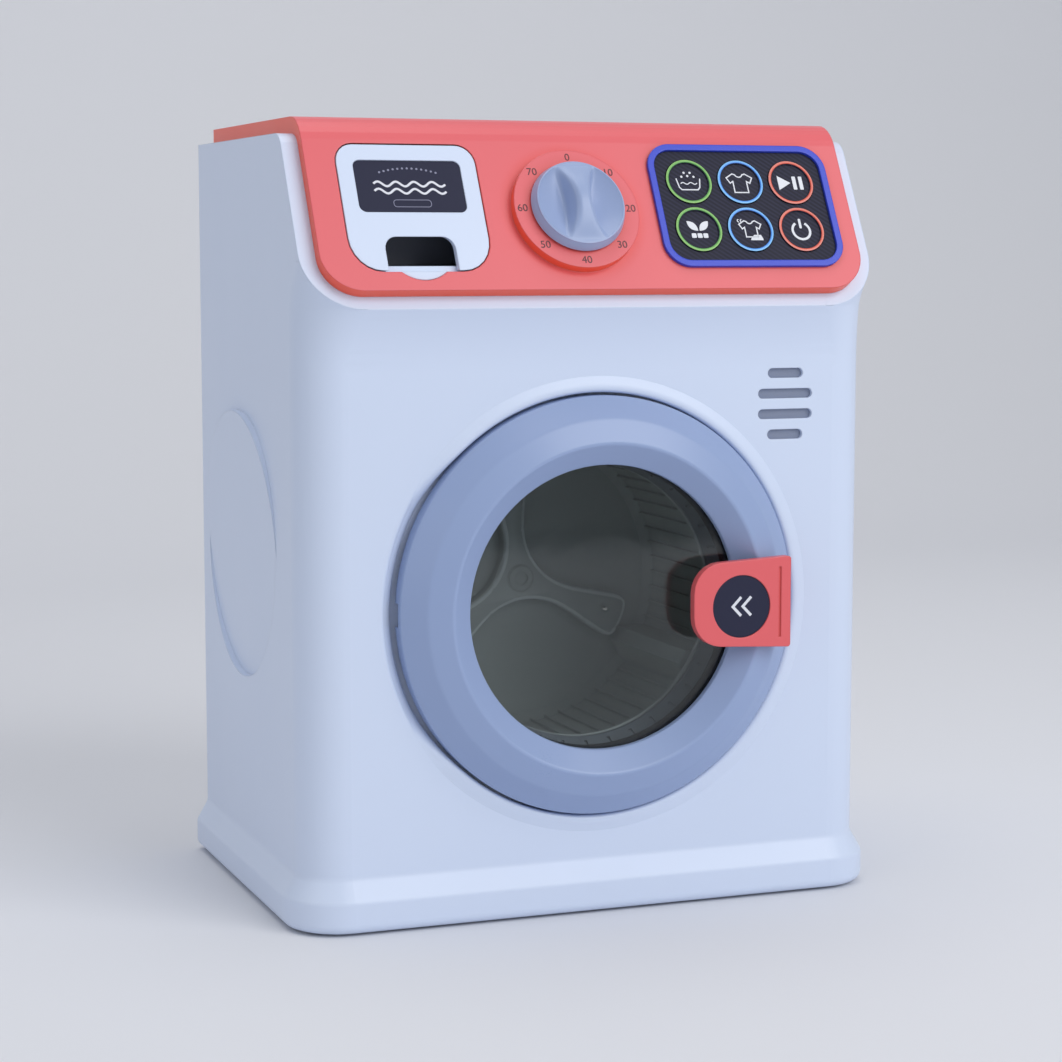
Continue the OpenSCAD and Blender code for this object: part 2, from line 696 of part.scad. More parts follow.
box_half = drawer_w / 2 - 4;
box_z0 = face_z(drawer_s) + 1.6;
box_z1 = face_z(drawer_s + drawer_h) - 6;
box_front_y = face_y(drawer_s + drawer_h) + 4;
box_back_y = box_front_y + drawer_travel + 16;
box_t = 1.4;
front_t = 2.4;
finger_w = 23.4;
finger_top = drawer_s + 12;
finger_r = 4;
label_w = 36;
label_h = 18.9;
label_r = 2.5;
label_s = drawer_s + 30.2;
label_depth = 0.9;
label_t = 0.6;
chute_t = 1.6;

// Space behind the fascia's face, from height h0 to h1 out of the panel.
module panel_slab(h0, h1) on_panel(0, 0, h0) translate([-body_w / 2, -20, 0]) cube([body_w, 120, h1 - h0]);

module drawer_front() color("white") centred() difference() {
    intersection() {
        deep(-30, 60) drawer_outline(0);
        panel_slab(fascia_rise - front_t, fascia_rise);
    }
    on_panel(drawer_x, label_s, fascia_rise - label_depth) linear_extrude(5)
        round_rect(label_w, label_h, label_r);
    deep(-30, 60) translate([drawer_x, 0]) polygon(rounded([
        [-finger_w / 2, rim_z], [finger_w / 2, rim_z], [finger_w / 2, face_z(finger_top), finger_r],
        [-finger_w / 2, face_z(finger_top), finger_r]]));
}

module drawer_label() color("midnightblue") centred()
    on_panel(drawer_x, label_s, fascia_rise - label_depth) linear_extrude(label_t)
        round_rect(label_w - 2 * snug, label_h - 2 * snug, label_r - snug);

// Open-topped box; its front wall stands back to leave room for fingers behind the notch.
module drawer_box() color("lightsteelblue") centred() difference() {
    roof_z = face_z(finger_top) + 1;
    wide = 2 * (box_half - box_t);
    translate([drawer_x - box_half, -30, box_z0]) cube([2 * box_half, box_back_y + 30, box_z1 - box_z0]);
    translate([drawer_x - wide / 2, box_front_y + box_t, box_z0 + box_t])
        cube([wide, box_back_y - 2 * box_t - box_front_y, box_z1]);
    translate([drawer_x - wide / 2, -31, roof_z + box_t]) cube([wide, box_front_y + box_t + 32, box_z1]);
    translate([drawer_x - wide / 2, -31, box_z0 - 1]) cube([wide, box_front_y + 31, roof_z - box_z0 + 1]);
    on_panel(0, 0, fascia_rise - front_t) translate([-body_w / 2, -40, 0]) cube([body_w, 140, 60]);
}

// Channel the drawer runs in, with a flange that seats behind the fascia.
module drawer_chute() color("white") centred() {
    z0 = box_z0 - fit;
    half = box_half + fit;
    difference() {
        union() {
            difference() {
                translate([drawer_x - half - chute_t, -30, z0 - chute_t])
                    cube([2 * (half + chute_t), box_back_y + fit + chute_t + 30, box_z1 - z0 - 6]);
                on_panel(0, 0, fascia_in) translate([-body_w / 2, -60, 0]) cube([body_w, 160, 60]);
            }
            intersection() {
                on_panel(drawer_x, drawer_s + drawer_h / 2, fit)
                    linear_extrude(fascia_in - fit) round_rect(drawer_w + 7, drawer_h + 7, 12);
                fascia_solid(fascia_in, fascia_top, fascia_bend_r, fascia_wall + snug);
            }
        }
        translate([drawer_x - half, -31, z0]) cube([2 * half, box_back_y + fit + 31, body_h]);
        intersection() {
            deep(-30, 60) drawer_outline(drawer_gap);
            panel_slab(fascia_rise - front_t - 0.2, 30);
        }
    }
    // Scoop that shows below the drawer's front.
    intersection() {
        deep(-30, 60) difference() {
            scallop_outline(-snug);
            translate([drawer_x - 20, face_z(drawer_s) - drawer_gap]) square([40, 40]);
        }
        panel_slab(fascia_in - eps, fascia_rise - 0.6);
    }
}

// ---------- dial ----------

knob_shaft_r = 4;
knob_base = fascia_rise + plate_rise + fit;
wheel_t = 3;
wheel_top = -0.4;
wheel_r = 9;
wheel_notches = 16;
notch_r = 1.1;

// Two round scoops leave a waisted grip across the knob.
module knob() color("lightslategray") centred() on_panel(dial_x, dial_s) {
    scoop_r = knob_r * 0.9;
    waist = 2.6;
    difference() {
        translate([0, 0, knob_base]) rotate_extrude()
            polygon(rounded([[0, 0], [knob_r, 0, 0.6], [knob_r - 0.8, knob_h - fit, 1.2],
                [0, knob_h - fit]]));
        for (side = [-1, 1]) intersection() {
            translate([side * (scoop_r + waist), 0, knob_base + 1.6]) cylinder(h = 20, r = scoop_r);
            translate([0, 0, knob_base + 1.6]) cylinder(h = 20, r = knob_r - 1.9);
        }
    }
    translate([0, 0, wheel_top - wheel_t - 1]) difference() {
        cylinder(h = knob_base - wheel_top + wheel_t + 1 + eps, r = knob_shaft_r);
        translate([knob_shaft_r - 0.8, -knob_shaft_r, -1]) cube([2, 2 * knob_shaft_r, wheel_t + 2]);
    }
}

module knob_click_wheel() color("gainsboro") centred() on_panel(dial_x, dial_s, wheel_top - wheel_t)
    linear_extrude(wheel_t) difference() {
        circle(wheel_r);
        for (i = [0:wheel_notches - 1]) rotate(i * 360 / wheel_notches + 90) translate([wheel_r + 0.3, 0])
            circle(notch_r, $fn = 24);
        difference() {
            circle(knob_shaft_r);
            translate([knob_shaft_r - 0.8, -knob_shaft_r]) square([2, 2 * knob_shaft_r]);
        }
    }

// Leaf that rides over the click wheel, with its feet on the fascia.
module knob_click_spring() color("silver") centred() on_panel(dial_x, dial_s) {
    lift = wheel_r + 0.25;
    translate([0, 0, wheel_top - wheel_t]) linear_extrude(wheel_t) {
        translate([-9, lift + 1]) square([18, 0.6]);
        intersection() {
            translate([0, lift + 1.1]) circle(1.1, $fn = 24);
            translate([-2, lift - 1]) square([4, 2.2]);
        }
    }
    for (x = [-9, 9]) translate([x, lift + 1.3, wheel_top - wheel_t])
        cylinder(h = fascia_in - wheel_top + wheel_t, r = 1.2, $fn = 24);
}

// ---------- touch panel ----------

spigot_t = 1.2;
bezel_lip = 1.4;
touch_in_w = touch_w - 2 * bezel_w;
touch_in_h = touch_h - 2 * bezel_w;
touch_hole_w = touch_in_w + 2 * spigot_t;
touch_hole_h = touch_in_h + 2 * spigot_t;
touch_in_r = touch_corner_r - bezel_w;
bezel_top = fascia_rise + 1.2;
panel_screw_r = 0.9;
board_posts = [for (x = [-1, 1], s = [-1, 1]) [touch_x + x * board_post[0], touch_s + s * board_post[1]]];

module touch_bezel() color("royalblue") centred() on_panel(touch_x, touch_s) difference() {
    union() {
        translate([0, 0, fascia_rise]) linear_extrude(bezel_top - fascia_rise)
            round_rect(touch_w, touch_h, touch_corner_r);
        translate([0, 0, fascia_in - 0.8]) linear_extrude(fascia_rise - fascia_in + 0.8 + eps)
            round_rect(touch_hole_w - 2 * snug, touch_hole_h - 2 * snug, touch_in_r + spigot_t - snug);
    }
    translate([0, 0, plate_top - plate_t]) linear_extrude(30) round_rect(touch_in_w, touch_in_h, touch_in_r);
    translate([0, 0, -5]) linear_extrude(30)
        round_rect(touch_in_w - 2 * bezel_lip, touch_in_h - 2 * bezel_lip, touch_in_r - bezel_lip);
}

module touch_plate() color("darkslategray") centred() on_panel() difference() {
    translate([touch_x, touch_s, plate_top - plate_t]) linear_extrude(plate_t)
        round_rect(touch_in_w - 2 * snug, touch_in_h - 2 * snug, touch_in_r - snug);
    for (p = button_places) translate([p[0], p[1], plate_top - plate_t - 1])
        cylinder(h = plate_t + 2, r = button_r + 0.2);
}

// A cap with a raised ring and a flange that stops it under the plate.
module button(i, shade) color(shade) centred() on_panel(button_places[i][0], button_places[i][1])
    rotate_extrude() polygon([[0, flange_top - flange_t], [flange_r, flange_top - flange_t],
        [flange_r, flange_top], [button_r, flange_top], [button_r, button_top], [button_r - 1.2, button_top],
        [button_r - 1.2, button_top - 0.4], [0, button_top - 0.4]]);
module button_basin() button(0, "yellowgreen");
module button_shirt() button(1, "deepskyblue");
module button_play() button(2, "tomato");
module button_leaf() button(3, "yellowgreen");
module button_iron() button(4, "deepskyblue");
module button_power() button(5, "tomato");

// Rubber sheet with a dome under each button.
module button_pad() color("lightgray") centred() on_panel() difference() {
    union() {
        translate([touch_x, touch_s, board_top]) linear_extrude(pad_t)
            square([board_w - 6, board_h - 12], center = true);
        for (p = button_places) translate([p[0], p[1], board_top])
            cylinder(h = dome_top - board_top, r = dome_r);
    }
    for (p = button_places) translate([p[0], p[1], board_top - eps]) cylinder(h = 1, r = dome_r - 1);
}

module control_board() color("darkgreen") centred() on_panel() difference() {
    union() {
        translate([touch_x, touch_s, board_top - board_t]) linear_extrude(board_t)
            round_rect(board_w, board_h, board_corner_r);
        // Chip, crystal and capacitor on the inner face.
        translate([touch_x - 10, touch_s, board_top - board_t - 2]) linear_extrude(2 + eps)
            square([14, 9], center = true);
        translate([touch_x + 8, touch_s - 6, board_top - board_t - 3]) cylinder(h = 3 + eps, r = 2);
        translate([touch_x + 20, touch_s + 8, board_top - board_t - 5]) cylinder(h = 5 + eps, r = 3);
    }
    for (p = board_posts) translate([p[0], p[1], board_top - board_t - 1])
        cylinder(h = board_t + 2, r = panel_screw_r);
}

module panel_screws() color("silver") centred() for (p = board_posts)
    on_panel(p[0], p[1], board_top - board_t) mirror([0, 0, 1]) {
        cylinder(h = 1.2, r = 1.8, $fn = 32);
        translate([0, 0, -board_t - 3]) cylinder(h = board_t + 3 + eps, r = panel_screw_r, $fn = 32);
    }

module speaker() color("dimgray") centred() {
    y0 = wall + 0.6;
    turned([[0, y0 + 2.5], [3.5, y0 + 2.8], [speaker_r - 3, y0], [speaker_r, y0], [speaker_r, y0 + 1.2],
        [speaker_r - 2, y0 + 1.2], [7.5, y0 + 6], [7.5, y0 + 9], [0, y0 + 9]], speaker_x, speaker_z);
}

// ---------- door ----------

hinge_lug_in = door_r - 8;
hinge_lug_z = knuckle_half + fit;
latch_pin_half = latch_half + fit + 2.8;
door_screw_r = door_r - 9;
door_screw_angles = [45, 135, 225, 315];

// Everything inside the ring's outer face, drawn in by 0.8.
module door_envelope() turned([[door_r - 0.8, door_back_y], [door_r - 0.8, rim_front_y + 0.6],
    [shoulder_r - 0.5, shoulder_y + 1], [door_crest_r, -door_crest_out + 1],
    [window_r + 0.6, window_y + 0.8], [window_r + 0.6, window_seat_y], [window_r + 5, window_seat_y],
    [window_r + 5, door_back_y]]);

module door_ring() color("white") centred() difference() {
    union() {
        turned(rounded([[door_r, door_back_y], [door_r, rim_front_y, 1], [shoulder_r, shoulder_y, 5],
            [door_crest_r, -door_crest_out, 1.5], [window_r, window_y, 0.8], [window_r, window_seat_y],
            [window_r + 4.6, window_seat_y], [door_crest_r + 0.6, -door_crest_out + door_wall + 1.4, 1.5],
            [shoulder_r - 0.8, shoulder_y + door_wall + 0.3, 3], [door_r - 2, rim_front_y + 1.2, 1],
            [door_r - 2, door_back_y]]));
        intersection() {
            door_envelope();
            union() {
                // Lugs of the hinge.
                for (side = [-1, 1]) translate([-door_r, -3.4, door_z + side * (hinge_lug_z + lug_h / 2)])
                    translate([0, 0, -lug_h / 2]) cube([door_r - hinge_lug_in, 6.4, lug_h]);
                // Cheeks that carry the latch's pin.
                for (side = [-1, 1])
                    translate([latch_x - 4, latch_y - 3, door_z + side * (latch_half + fit + 1.4) - 1.4])
                        cube([8, door_back_y - back_t - latch_y + 3, 2.8]);
                // Posts for the back's screws.
                for (a = door_screw_angles) rod(door_screw_r * cos(a), door_z + door_screw_r * sin(a),
                    -11, door_back_y - back_t, 3);
            }
        }
    }
    // Bore of the hinge pin.
    translate([hinge_x, hinge_y, door_z])
        cylinder(h = 2 * (hinge_lug_z + lug_h) + 1, r = hinge_pin_r, center = true);
    // Room for the cabinet's knuckle as the door swings.
    translate([-door_r - 2, hinge_y - 0.9, door_z - hinge_lug_z]) cube([16, 8, 2 * hinge_lug_z]);
    translate([hinge_x, hinge_y, door_z]) cylinder(h = 2 * hinge_lug_z, r = knuckle_r + fit, center = true);
    // Window for the latch's arm, and bore of its pin.
    translate([latch_x - latch_boss_r - 1, -door_crest_out - 2, door_z - latch_half - fit])
        cube([latch_boss_r + 5.7, door_crest_out + 4, 2 * (latch_half + fit)]);
    translate([latch_x, latch_y, door_z]) cylinder(h = 2 * latch_pin_half, r = latch_pin_r, center = true);
    for (a = door_screw_angles) rod(door_screw_r * cos(a), door_z + door_screw_r * sin(a), -6, 10, 1);
}

module door_back() color("darkgray") centred() difference() {
    turned([[window_r + collar_t, window_back_y], [window_r + window_rim + 0.3, window_back_y],
        [window_r + window_rim + 0.3, door_back_y - back_t], [door_r - 2 - snug, door_back_y - back_t],
        [door_r - 2 - snug, door_back_y], [window_r + collar_t, door_back_y]]);
    // Notches for the hinge and for the latch's arm.
    translate([-door_r - 2, -2, door_z - hinge_lug_z - lug_h - snug])
        cube([door_r + 2 - hinge_lug_in + snug, 8, 2 * (hinge_lug_z + lug_h + snug)]);
    translate([-door_r - 2, -2, door_z - hinge_lug_z]) cube([16, 8, 2 * hinge_lug_z]);
    translate([latch_x - 1.6, -2, door_z - arm_half - 0.8])
        cube([hook_x - latch_x + 2.4, 8, 2 * (arm_half + 0.8)]);
    for (a = door_screw_angles) {
        rod(door_screw_r * cos(a), door_z + door_screw_r * sin(a), -2, 8, 1.1);
        rod(door_screw_r * cos(a), door_z + door_screw_r * sin(a), door_back_y - 1.1, 8, 2.3);
    }
}

module door_window() color("lightblue", 0.4) centred() {
    bow = (window_r * window_r + window_dome * window_dome) / (2 * window_dome);
    rise = [for (i = [0:6]) let (r = window_r * i / 6) [r, -window_dome + bow - sqrt(bow * bow - r * r)]];
    turned(concat([for (p = rise) [p[0], window_seat_y + p[1]]],
        [[window_r + window_rim, window_seat_y], [window_r + window_rim, window_back_y]],
        [for (i = [6:-1:0]) [rise[i][0], window_back_y + rise[i][1]]]));
}

module door_seal() color("dimgray") centred() turned([[window_r + snug, window_back_y],
    [window_r + collar_t - snug, window_back_y], [window_r + collar_t - snug, door_back_y + 1],
    [window_r + snug, door_back_y + 1]]);

module door_screws() color("silver") centred() for (a = door_screw_angles) {
    x = door_screw_r * cos(a);
    z = door_z + door_screw_r * sin(a);
    rod(x, z, door_back_y - 1.1, door_back_y - 0.1, 2.1);
    rod(x, z, -5, door_back_y - 1.1 + eps, 1);
}

// Plate behind the recess whose knuckle reaches forward through the slot.
module hinge_bracket() color("gainsboro") centred() difference() {
    drop = bracket_y - hinge_y;
    union() {
        translate([hinge_x - 1.6, bracket_y, door_z - bracket_h / 2])
            cube([bracket_reach + 1.6, 2, bracket_h]);
        translate([hinge_x, hinge_y, door_z]) linear_extrude(2 * knuckle_half, center = true) {
            circle(knuckle_r, $fn = 48);
            polygon([[-0.9, 1.78], [1.4, -1.4], [bracket_reach, 4.6], [bracket_reach, drop + 0.5],
                [3, drop + 0.5], [3, 4.8]]);
        }
    }
    translate([hinge_x, hinge_y, door_z])
        cylinder(h = 20, r = hinge_pin_r + pin_clearance, center = true, $fn = 48);
    for (z = [-1, 1]) rod(bracket_screw_x, door_z + z * bracket_screw_z, bracket_y - 1, bracket_y + 4,
        screw_r + 0.2);
}

module hinge_pin() color("silver") centred() translate([hinge_x, hinge_y, door_z])
    cylinder(h = 2 * (hinge_lug_z + lug_h), r = hinge_pin_r, center = true, $fn = 48);

// ---------- latch ----------

module latch_handle() color("tomato") centred() difference() {
    union() {
        // Grip: square towards the door's edge, round towards its middle.
        deep(-handle_out, -handle_out + handle_t) translate([handle_x, door_z + 0.4])
            polygon(rounded([[0, -handle_h / 2, 1], [0, handle_h / 2, 1], [-handle_l, handle_h / 2 - 1.8, 10],
                [-handle_l, -handle_h / 2 + 1.8, 10]]));
        translate([latch_x, latch_y, door_z]) linear_extrude(2 * latch_half, center = true) {
            circle(latch_boss_r, $fn = 48);
            translate([-latch_boss_r, -handle_out + handle_t - latch_y - eps])
                square([2 * latch_boss_r, handle_out - handle_t + latch_y + eps]);
        }
        // Arm that runs back through the door to the hook.
        translate([0, 0, door_z]) linear_extrude(2 * arm_half, center = true) polygon([
            [latch_x - 1.5, latch_y], [latch_x + latch_boss_r, latch_y],
            [latch_x + latch_boss_r, latch_y + 4.5], [hook_x - 2, latch_y + 8],
            [hook_x - 2, hook_y - 0.2], [hook_x, hook_y - 0.2],
            [hook_x, hook_y + 0.8], [hook_x - 1.4, hook_y + hook_t],
            [hook_x - 2 - arm_t, hook_y + hook_t], [hook_x - 2 - arm_t, latch_y + 9],
            [latch_x + 0.4, latch_y + 5.5], [latch_x - 1.5, latch_y + 2]]);
    }
    translate([latch_x, latch_y, door_z])
        cylinder(h = 2 * latch_pin_half, r = latch_pin_r + pin_clearance, center = true, $fn = 48);
    // Seat of the badge, the line moulded by the hinge, and the spring's pocket.
    rod(handle_x - 17.9, door_z - 0.5, -handle_out - 1, -handle_out + 1, badge_r);
    translate([handle_x - 4.4, -handle_out - 1, door_z - handle_h / 2 + 3.9]) cube([0.9, 1.5, handle_h - 7]);
    translate([latch_x, latch_y, door_z + arm_half + 0.2]) cylinder(h = 10, r = 2.5, $fn = 48);
    translate([latch_x - 5, latch_y - 1.6, door_z + arm_half + 0.2]) cube([10, 6, 10]);
}

module latch_badge() color("midnightblue") centred()
    rod(handle_x - 17.9, door_z - 0.5, -handle_out + 0.3, -handle_out + 1, badge_r - snug);

module latch_pin() color("silver") centred() translate([latch_x, latch_y, door_z])
    cylinder(h = 2 * latch_pin_half, r = latch_pin_r, center = true, $fn = 48);

// Section of a wound spring about its axis: outline of n touching turns of wire.
function coil(r, wire, n) = concat(
    [for (i = [0:n - 1]) each [[r - wire / 2 + 0.06, i * wire], [r - wire / 2 + 0.06, (i + 1) * wire]]],
    [for (i = [n - 1:-1:0]) each [[r + wire * 0.2, (i + 1) * wire], [r + wire / 2, (i + 0.5) * wire]]],
    [[r + wire * 0.2, 0]]);

// Torsion spring round the pin, with one leg on the boss.
module latch_spring() color("silver") centred() translate([latch_x, latch_y, door_z + arm_half + 0.25]) {
    rotate_extrude($fn = 48) polygon(coil(1.7, 0.6, 5));
    translate([-1.9, 0, 0.3]) rotate([90, 0, 0]) cylinder(h = 1.5, r = 0.3, $fn = 16);
}

// ---------- interlock ----------

interlock_cap_y = bracket_y + 7.6;
module interlock_pin() color("firebrick") centred() {
    rod(interlock_x, interlock_z, door_back_y + snug, bracket_y + 1, interlock_tip_r);
    rod(interlock_x, interlock_z, bracket_y + 0.05, bracket_y + 1.05, interlock_tip_r + 0.9);
    rod(interlock_x, interlock_z, bracket_y + 1, interlock_cap_y + 4, 1.2);
}
module interlock_spring() color("silver") centred()
    translate([interlock_x, interlock_cap_y, interlock_z]) rotate([90, 0, 0])
        rotate_extrude($fn = 48) polygon(coil(2.3, 0.6, 8));
module interlock_cap() color("gainsboro") centred() difference() {
    rod(interlock_x, interlock_z, interlock_cap_y, interlock_cap_y + 1.8, interlock_tip_r + 2.1);
    rod(interlock_x, interlock_z, 0, 60, 1.2 + pin_clearance);
}

// ---------- mouth, tub and drum ----------

mouth_slots = 36;
mouth_flare = 6;                              // how much wider the mouth is at its front
module mouth_ring() color("white") centred() difference() {
    turned([[mouth_r + mouth_flare, recess_depth - 1.1], [tub_r, recess_depth - 1.1], [tub_r, recess_depth],
        [mouth_seat_r, recess_depth], [mouth_seat_r, mouth_end_y], [mouth_r, mouth_end_y],
        [mouth_r, mouth_end_y - 1.4]]);
    for (i = [0:mouth_slots - 1]) translate([0, 0, door_z]) rotate([0, i * 360 / mouth_slots, 0])
        translate([mouth_r + mouth_flare / 2 - 0.1, (recess_depth + mouth_end_y) / 2 - 1, 0])
            rotate([0, 0, -53]) cube([6, 1.4, 1], center = true);
}

module tub() color("dimgray") centred() difference() {
    union() {
        turned([[tub_in, bracket_y], [tub_r, bracket_y], [tub_r, tub_end_y + tub_back_t],
            [0, tub_end_y + tub_back_t], [0, tub_end_y], [tub_in, tub_end_y]]);
        rod(0, door_z, tub_end_y - 2.6, drum_gear_y - 0.4, hub_r);
        for (a = tub_ear_angles) translate([0, 0, door_z]) rotate([0, -a, 0]) {
            rod(tub_ear_r, 0, bracket_y + 3, bracket_y + 5.4, boss_r);
            translate([tub_in + 0.6, bracket_y + 3, -boss_r])
                cube([tub_ear_r - tub_in - 0.6, 2.4, 2 * boss_r]);
        }
        // Boss of the reduction gear's axle, and posts of the gear cover.
        rod(reduction_x, reduction_z, tub_end_y, drum_gear_y - fit, 3);
        for (p = gear_posts) rod(p[0], door_z + p[1], tub_end_y + tub_back_t - eps, gear_cover_y, post_r);
    }
    rod(0, door_z, tub_end_y - 4, drum_gear_y, bush_r);
    rod(reduction_x, reduction_z, tub_end_y + 0.8, drum_gear_y, axle_r);
    for (p = tub_ears) rod(p[0], p[1], bracket_y + 2, bracket_y + 6, screw_r + 0.2);
    for (p = gear_posts) rod(p[0], door_z + p[1], gear_cover_y - 6.5, gear_cover_y + 1, screw_r);
}

star_arms = 4;
star_r = mouth_r - 2;
star_bite_r = 19;
module drum() color("silver") centred() difference() {
    union() {
        turned([[drum_r - drum_wall, drum_y + drum_wall], [mouth_r, drum_y + drum_wall], [mouth_r, drum_y],
            [drum_r, drum_y], [drum_r, drum_end_y], [0, drum_end_y], [0, drum_end_y - 2.4],
            [drum_r - drum_wall, drum_end_y - 2.4]]);
        // Star raised on the back plate.
        deep(drum_end_y - 5.4, drum_end_y - 2.4 + eps) translate([0, door_z]) difference() {
            circle(star_r);
            for (i = [0:star_arms - 1]) rotate(70 + i * 360 / star_arms)
                translate([star_r - 4, 0]) circle(star_bite_r);
        }
        rod(0, door_z, drum_end_y - 9, drum_end_y, hub_r);
        // Lifters and ribs along the wall.
        for (i = [0:lifters - 1]) translate([0, 0, door_z]) rotate([0, -(i * 360 / lifters + 210), 0])
            deep(drum_y + 3, drum_end_y - 2.4 + eps) polygon(rounded([[drum_r - 1, -8], [drum_r - 1, 8],
                [drum_r - 10, 3, 2.5], [drum_r - 10, -3, 2.5]]));
        for (i = [0:drum_ribs - 1]) translate([0, 0, door_z]) rotate([0, -(i + 0.5) * 360 / drum_ribs, 0])
            translate([drum_r - drum_wall - 1, drum_y + drum_wall, -0.5])
                cube([1.6, drum_d - drum_wall - 2.4 + eps, 1]);
    }
    rod(0, door_z, drum_end_y - 8, drum_end_y + 1, shaft_r);
}

module drum_shaft() color("gray") centred()
    rod(0, door_z, drum_end_y - 8, gear_cover_y + gear_cover_t, shaft_r);

module drum_bush() color("goldenrod") centred() difference() {
    rod(0, door_z, tub_end_y - 2.6, drum_gear_y - 0.4, bush_r);
    rod(0, door_z, tub_end_y - 4, drum_gear_y, shaft_r + pin_clearance);
}

// ---------- gear train ----------

// Involute teeth: points of a wheel with n teeth, thinned by a little play.
pressure_angle = 20;
function involute(a) = tan(a) * 180 / PI - a;
function wheel_points(n, play = 0.12) =
    let (rp = gear_module * n / 2, rb = rp * cos(pressure_angle), ro = rp + gear_module * 0.9,
         rr = rp - gear_module * 1.15, lo = max(rb + 0.02, rr + 0.05), steps = 3,
         half = 90 / n + involute(pressure_angle) - play / rp * 90 / PI)
    [for (i = [0:n - 1]) let (a = 360 * i / n) each concat(
        [rr * [cos(a - 180 / n * 0.62), sin(a - 180 / n * 0.62)]],
        [for (k = [0:steps]) let (r = lo + (ro - lo) * k / steps, b = half - involute(acos(rb / r)))
            r * [cos(a - b), sin(a - b)]],
        [for (k = [steps:-1:0]) let (r = lo + (ro - lo) * k / steps, b = half - involute(acos(rb / r)))
            r * [cos(a + b), sin(a + b)]],
        [rr * [cos(a + 180 / n * 0.62), sin(a + 180 / n * 0.62)]])];

// A wheel about (x, z) whose tooth, or gap, lies towards the given angle.
module gear_wheel(n, y0, x, z, angle) deep(y0, y0 + gear_t) translate([x, z]) rotate(angle)
    polygon(wheel_points(n));

module drum_gear() color("ivory") centred() difference() {
    gear_wheel(drum_teeth, drum_gear_y, 0, door_z, reduction_angle);
    rod(0, door_z, 0, 200, shaft_r);
    for (i = [0:5]) rod(13.5 * cos(i * 60), door_z + 13.5 * sin(i * 60), 0, 200, 4.5);
}

module reduction_gear() color("ivory") centred() difference() {
    union() {
        gear_wheel(small_teeth, drum_gear_y, reduction_x, reduction_z,
            reduction_angle + 180 + 180 / small_teeth);
        gear_wheel(large_teeth, large_gear_y, reduction_x, reduction_z, motor_angle);
        rod(reduction_x, reduction_z, drum_gear_y + gear_t - eps, large_gear_y + eps, small_pitch_r - 1);
    }
    rod(reduction_x, reduction_z, 0, 200, axle_r + pin_clearance);
}

module reduction_axle() color("gray") centred()
    rod(reduction_x, reduction_z, tub_end_y + 0.8, gear_cover_y + gear_cover_t, axle_r);

module gear_cover() color("gainsboro") centred() difference() {
    deep(gear_cover_y, gear_cover_y + gear_cover_t) translate([0, door_z]) polygon(rounded([[-25, 28, 5],
        [28, 21.5, 5], [53.5, -12, 5], [53.5, -24, 5], [44, -40, 5], [8, -44, 5], [-28, -22, 5]]));
    rod(0, door_z, 0, 200, shaft_r + pin_clearance);
    rod(reduction_x, reduction_z, 0, 200, axle_r);
    rod(motor_x, motor_z, 0, 200, 3.2);
    for (p = gear_posts) rod(p[0], door_z + p[1], 0, 200, screw_r + 0.2);
}

module motor() color("silver") centred() {
    y0 = gear_cover_y + gear_cover_t;
    deep(y0, y0 + motor_l) translate([motor_x, motor_z]) intersection() {
        circle(motor_r);
        square([2 * motor_r, 2 * motor_flat], center = true);
    }
    rod(motor_x, motor_z, y0 - 1.6, y0 + eps, 3);
    rod(motor_x, motor_z, y0 + motor_l - eps, y0 + motor_l + 2, 4);
    for (side = [-1, 1]) translate([motor_x + side * 7 - 1, y0 + motor_l - eps, motor_z - 0.3])
        cube([2, terminal_l, 0.6]);
}

module motor_pinion() color("goldenrod") centred() {
    gear_wheel(pinion_teeth, large_gear_y, motor_x, motor_z, motor_angle + 180 + 180 / pinion_teeth);
    rod(motor_x, motor_z, large_gear_y + gear_t - eps, gear_cover_y + 0.2, 1.9);
}

// ---------- power ----------

cell_step = cell_d + bay_gap;
cell_y = rear_y - bay_d + bay_wall + cell_d / 2;
function cell_z(i) = bay_z + bay_wall + bay_gap + cell_d / 2 + i * cell_step;
module battery_cells() color("seagreen") centred() for (i = [0:cells - 1])
    translate([0, cell_y, cell_z(i)]) rotate([0, i % 2 == 0 ? 90 : -90, 0]) {
        translate([0, 0, -cell_l / 2]) cylinder(h = cell_l, r = cell_d / 2);
        translate([0, 0, cell_l / 2 - eps]) cylinder(h = 1.3, r = 2.75, $fn = 32);
    }

module battery_contacts() color("silver") centred() for (i = [0:cells - 1])
    translate([0, cell_y, cell_z(i)]) rotate([0, i % 2 == 0 ? 90 : -90, 0]) {
        half = bay_w / 2 - snug;
        translate([-5, -5, half - 0.5]) cube([10, 10, 0.5]);
        translate([0, 0, cell_l / 2 + 1.3]) cylinder(h = half - 0.4 - cell_l / 2 - 1.3, r = 2.4, $fn = 32);
        translate([-5, -5, -half]) cube([10, 10, 0.5]);
        translate([0, 0, -half + 0.5 - eps]) rotate_extrude($fn = 32)
            polygon(coil(3.4, (half - 0.5 - cell_l / 2) / 5, 5));
    }

module battery_door() color("whitesmoke") centred() difference() {
    lip = hatch_lip - 0.2;
    union() {
        translate([-bay_w / 2 - lip, body_d - 1.6, bay_z + bay_wall - lip])
            cube([bay_w + 2 * lip, 1.6, bay_h + 2 * lip]);
        rod(0, hatch_screw_z, body_d - 3, body_d, hatch_tab_r);
    }
    // Grooves for the thumb.
    for (i = [0:3]) translate([-14, body_d - 0.6, bay_z + 8 + i * 3]) cube([28, 1, 1.2]);
    rod(0, hatch_screw_z, body_d - 1.6, body_d + 1, screw_head_r + 0.4);
    rod(0, hatch_screw_z, body_d - 5, body_d + 1, screw_r + 0.2);
}

// ---------- screws ----------

module back_screw(x, z, y, length) translate([x, y, z]) rotate([-90, 0, 0]) screw(length);

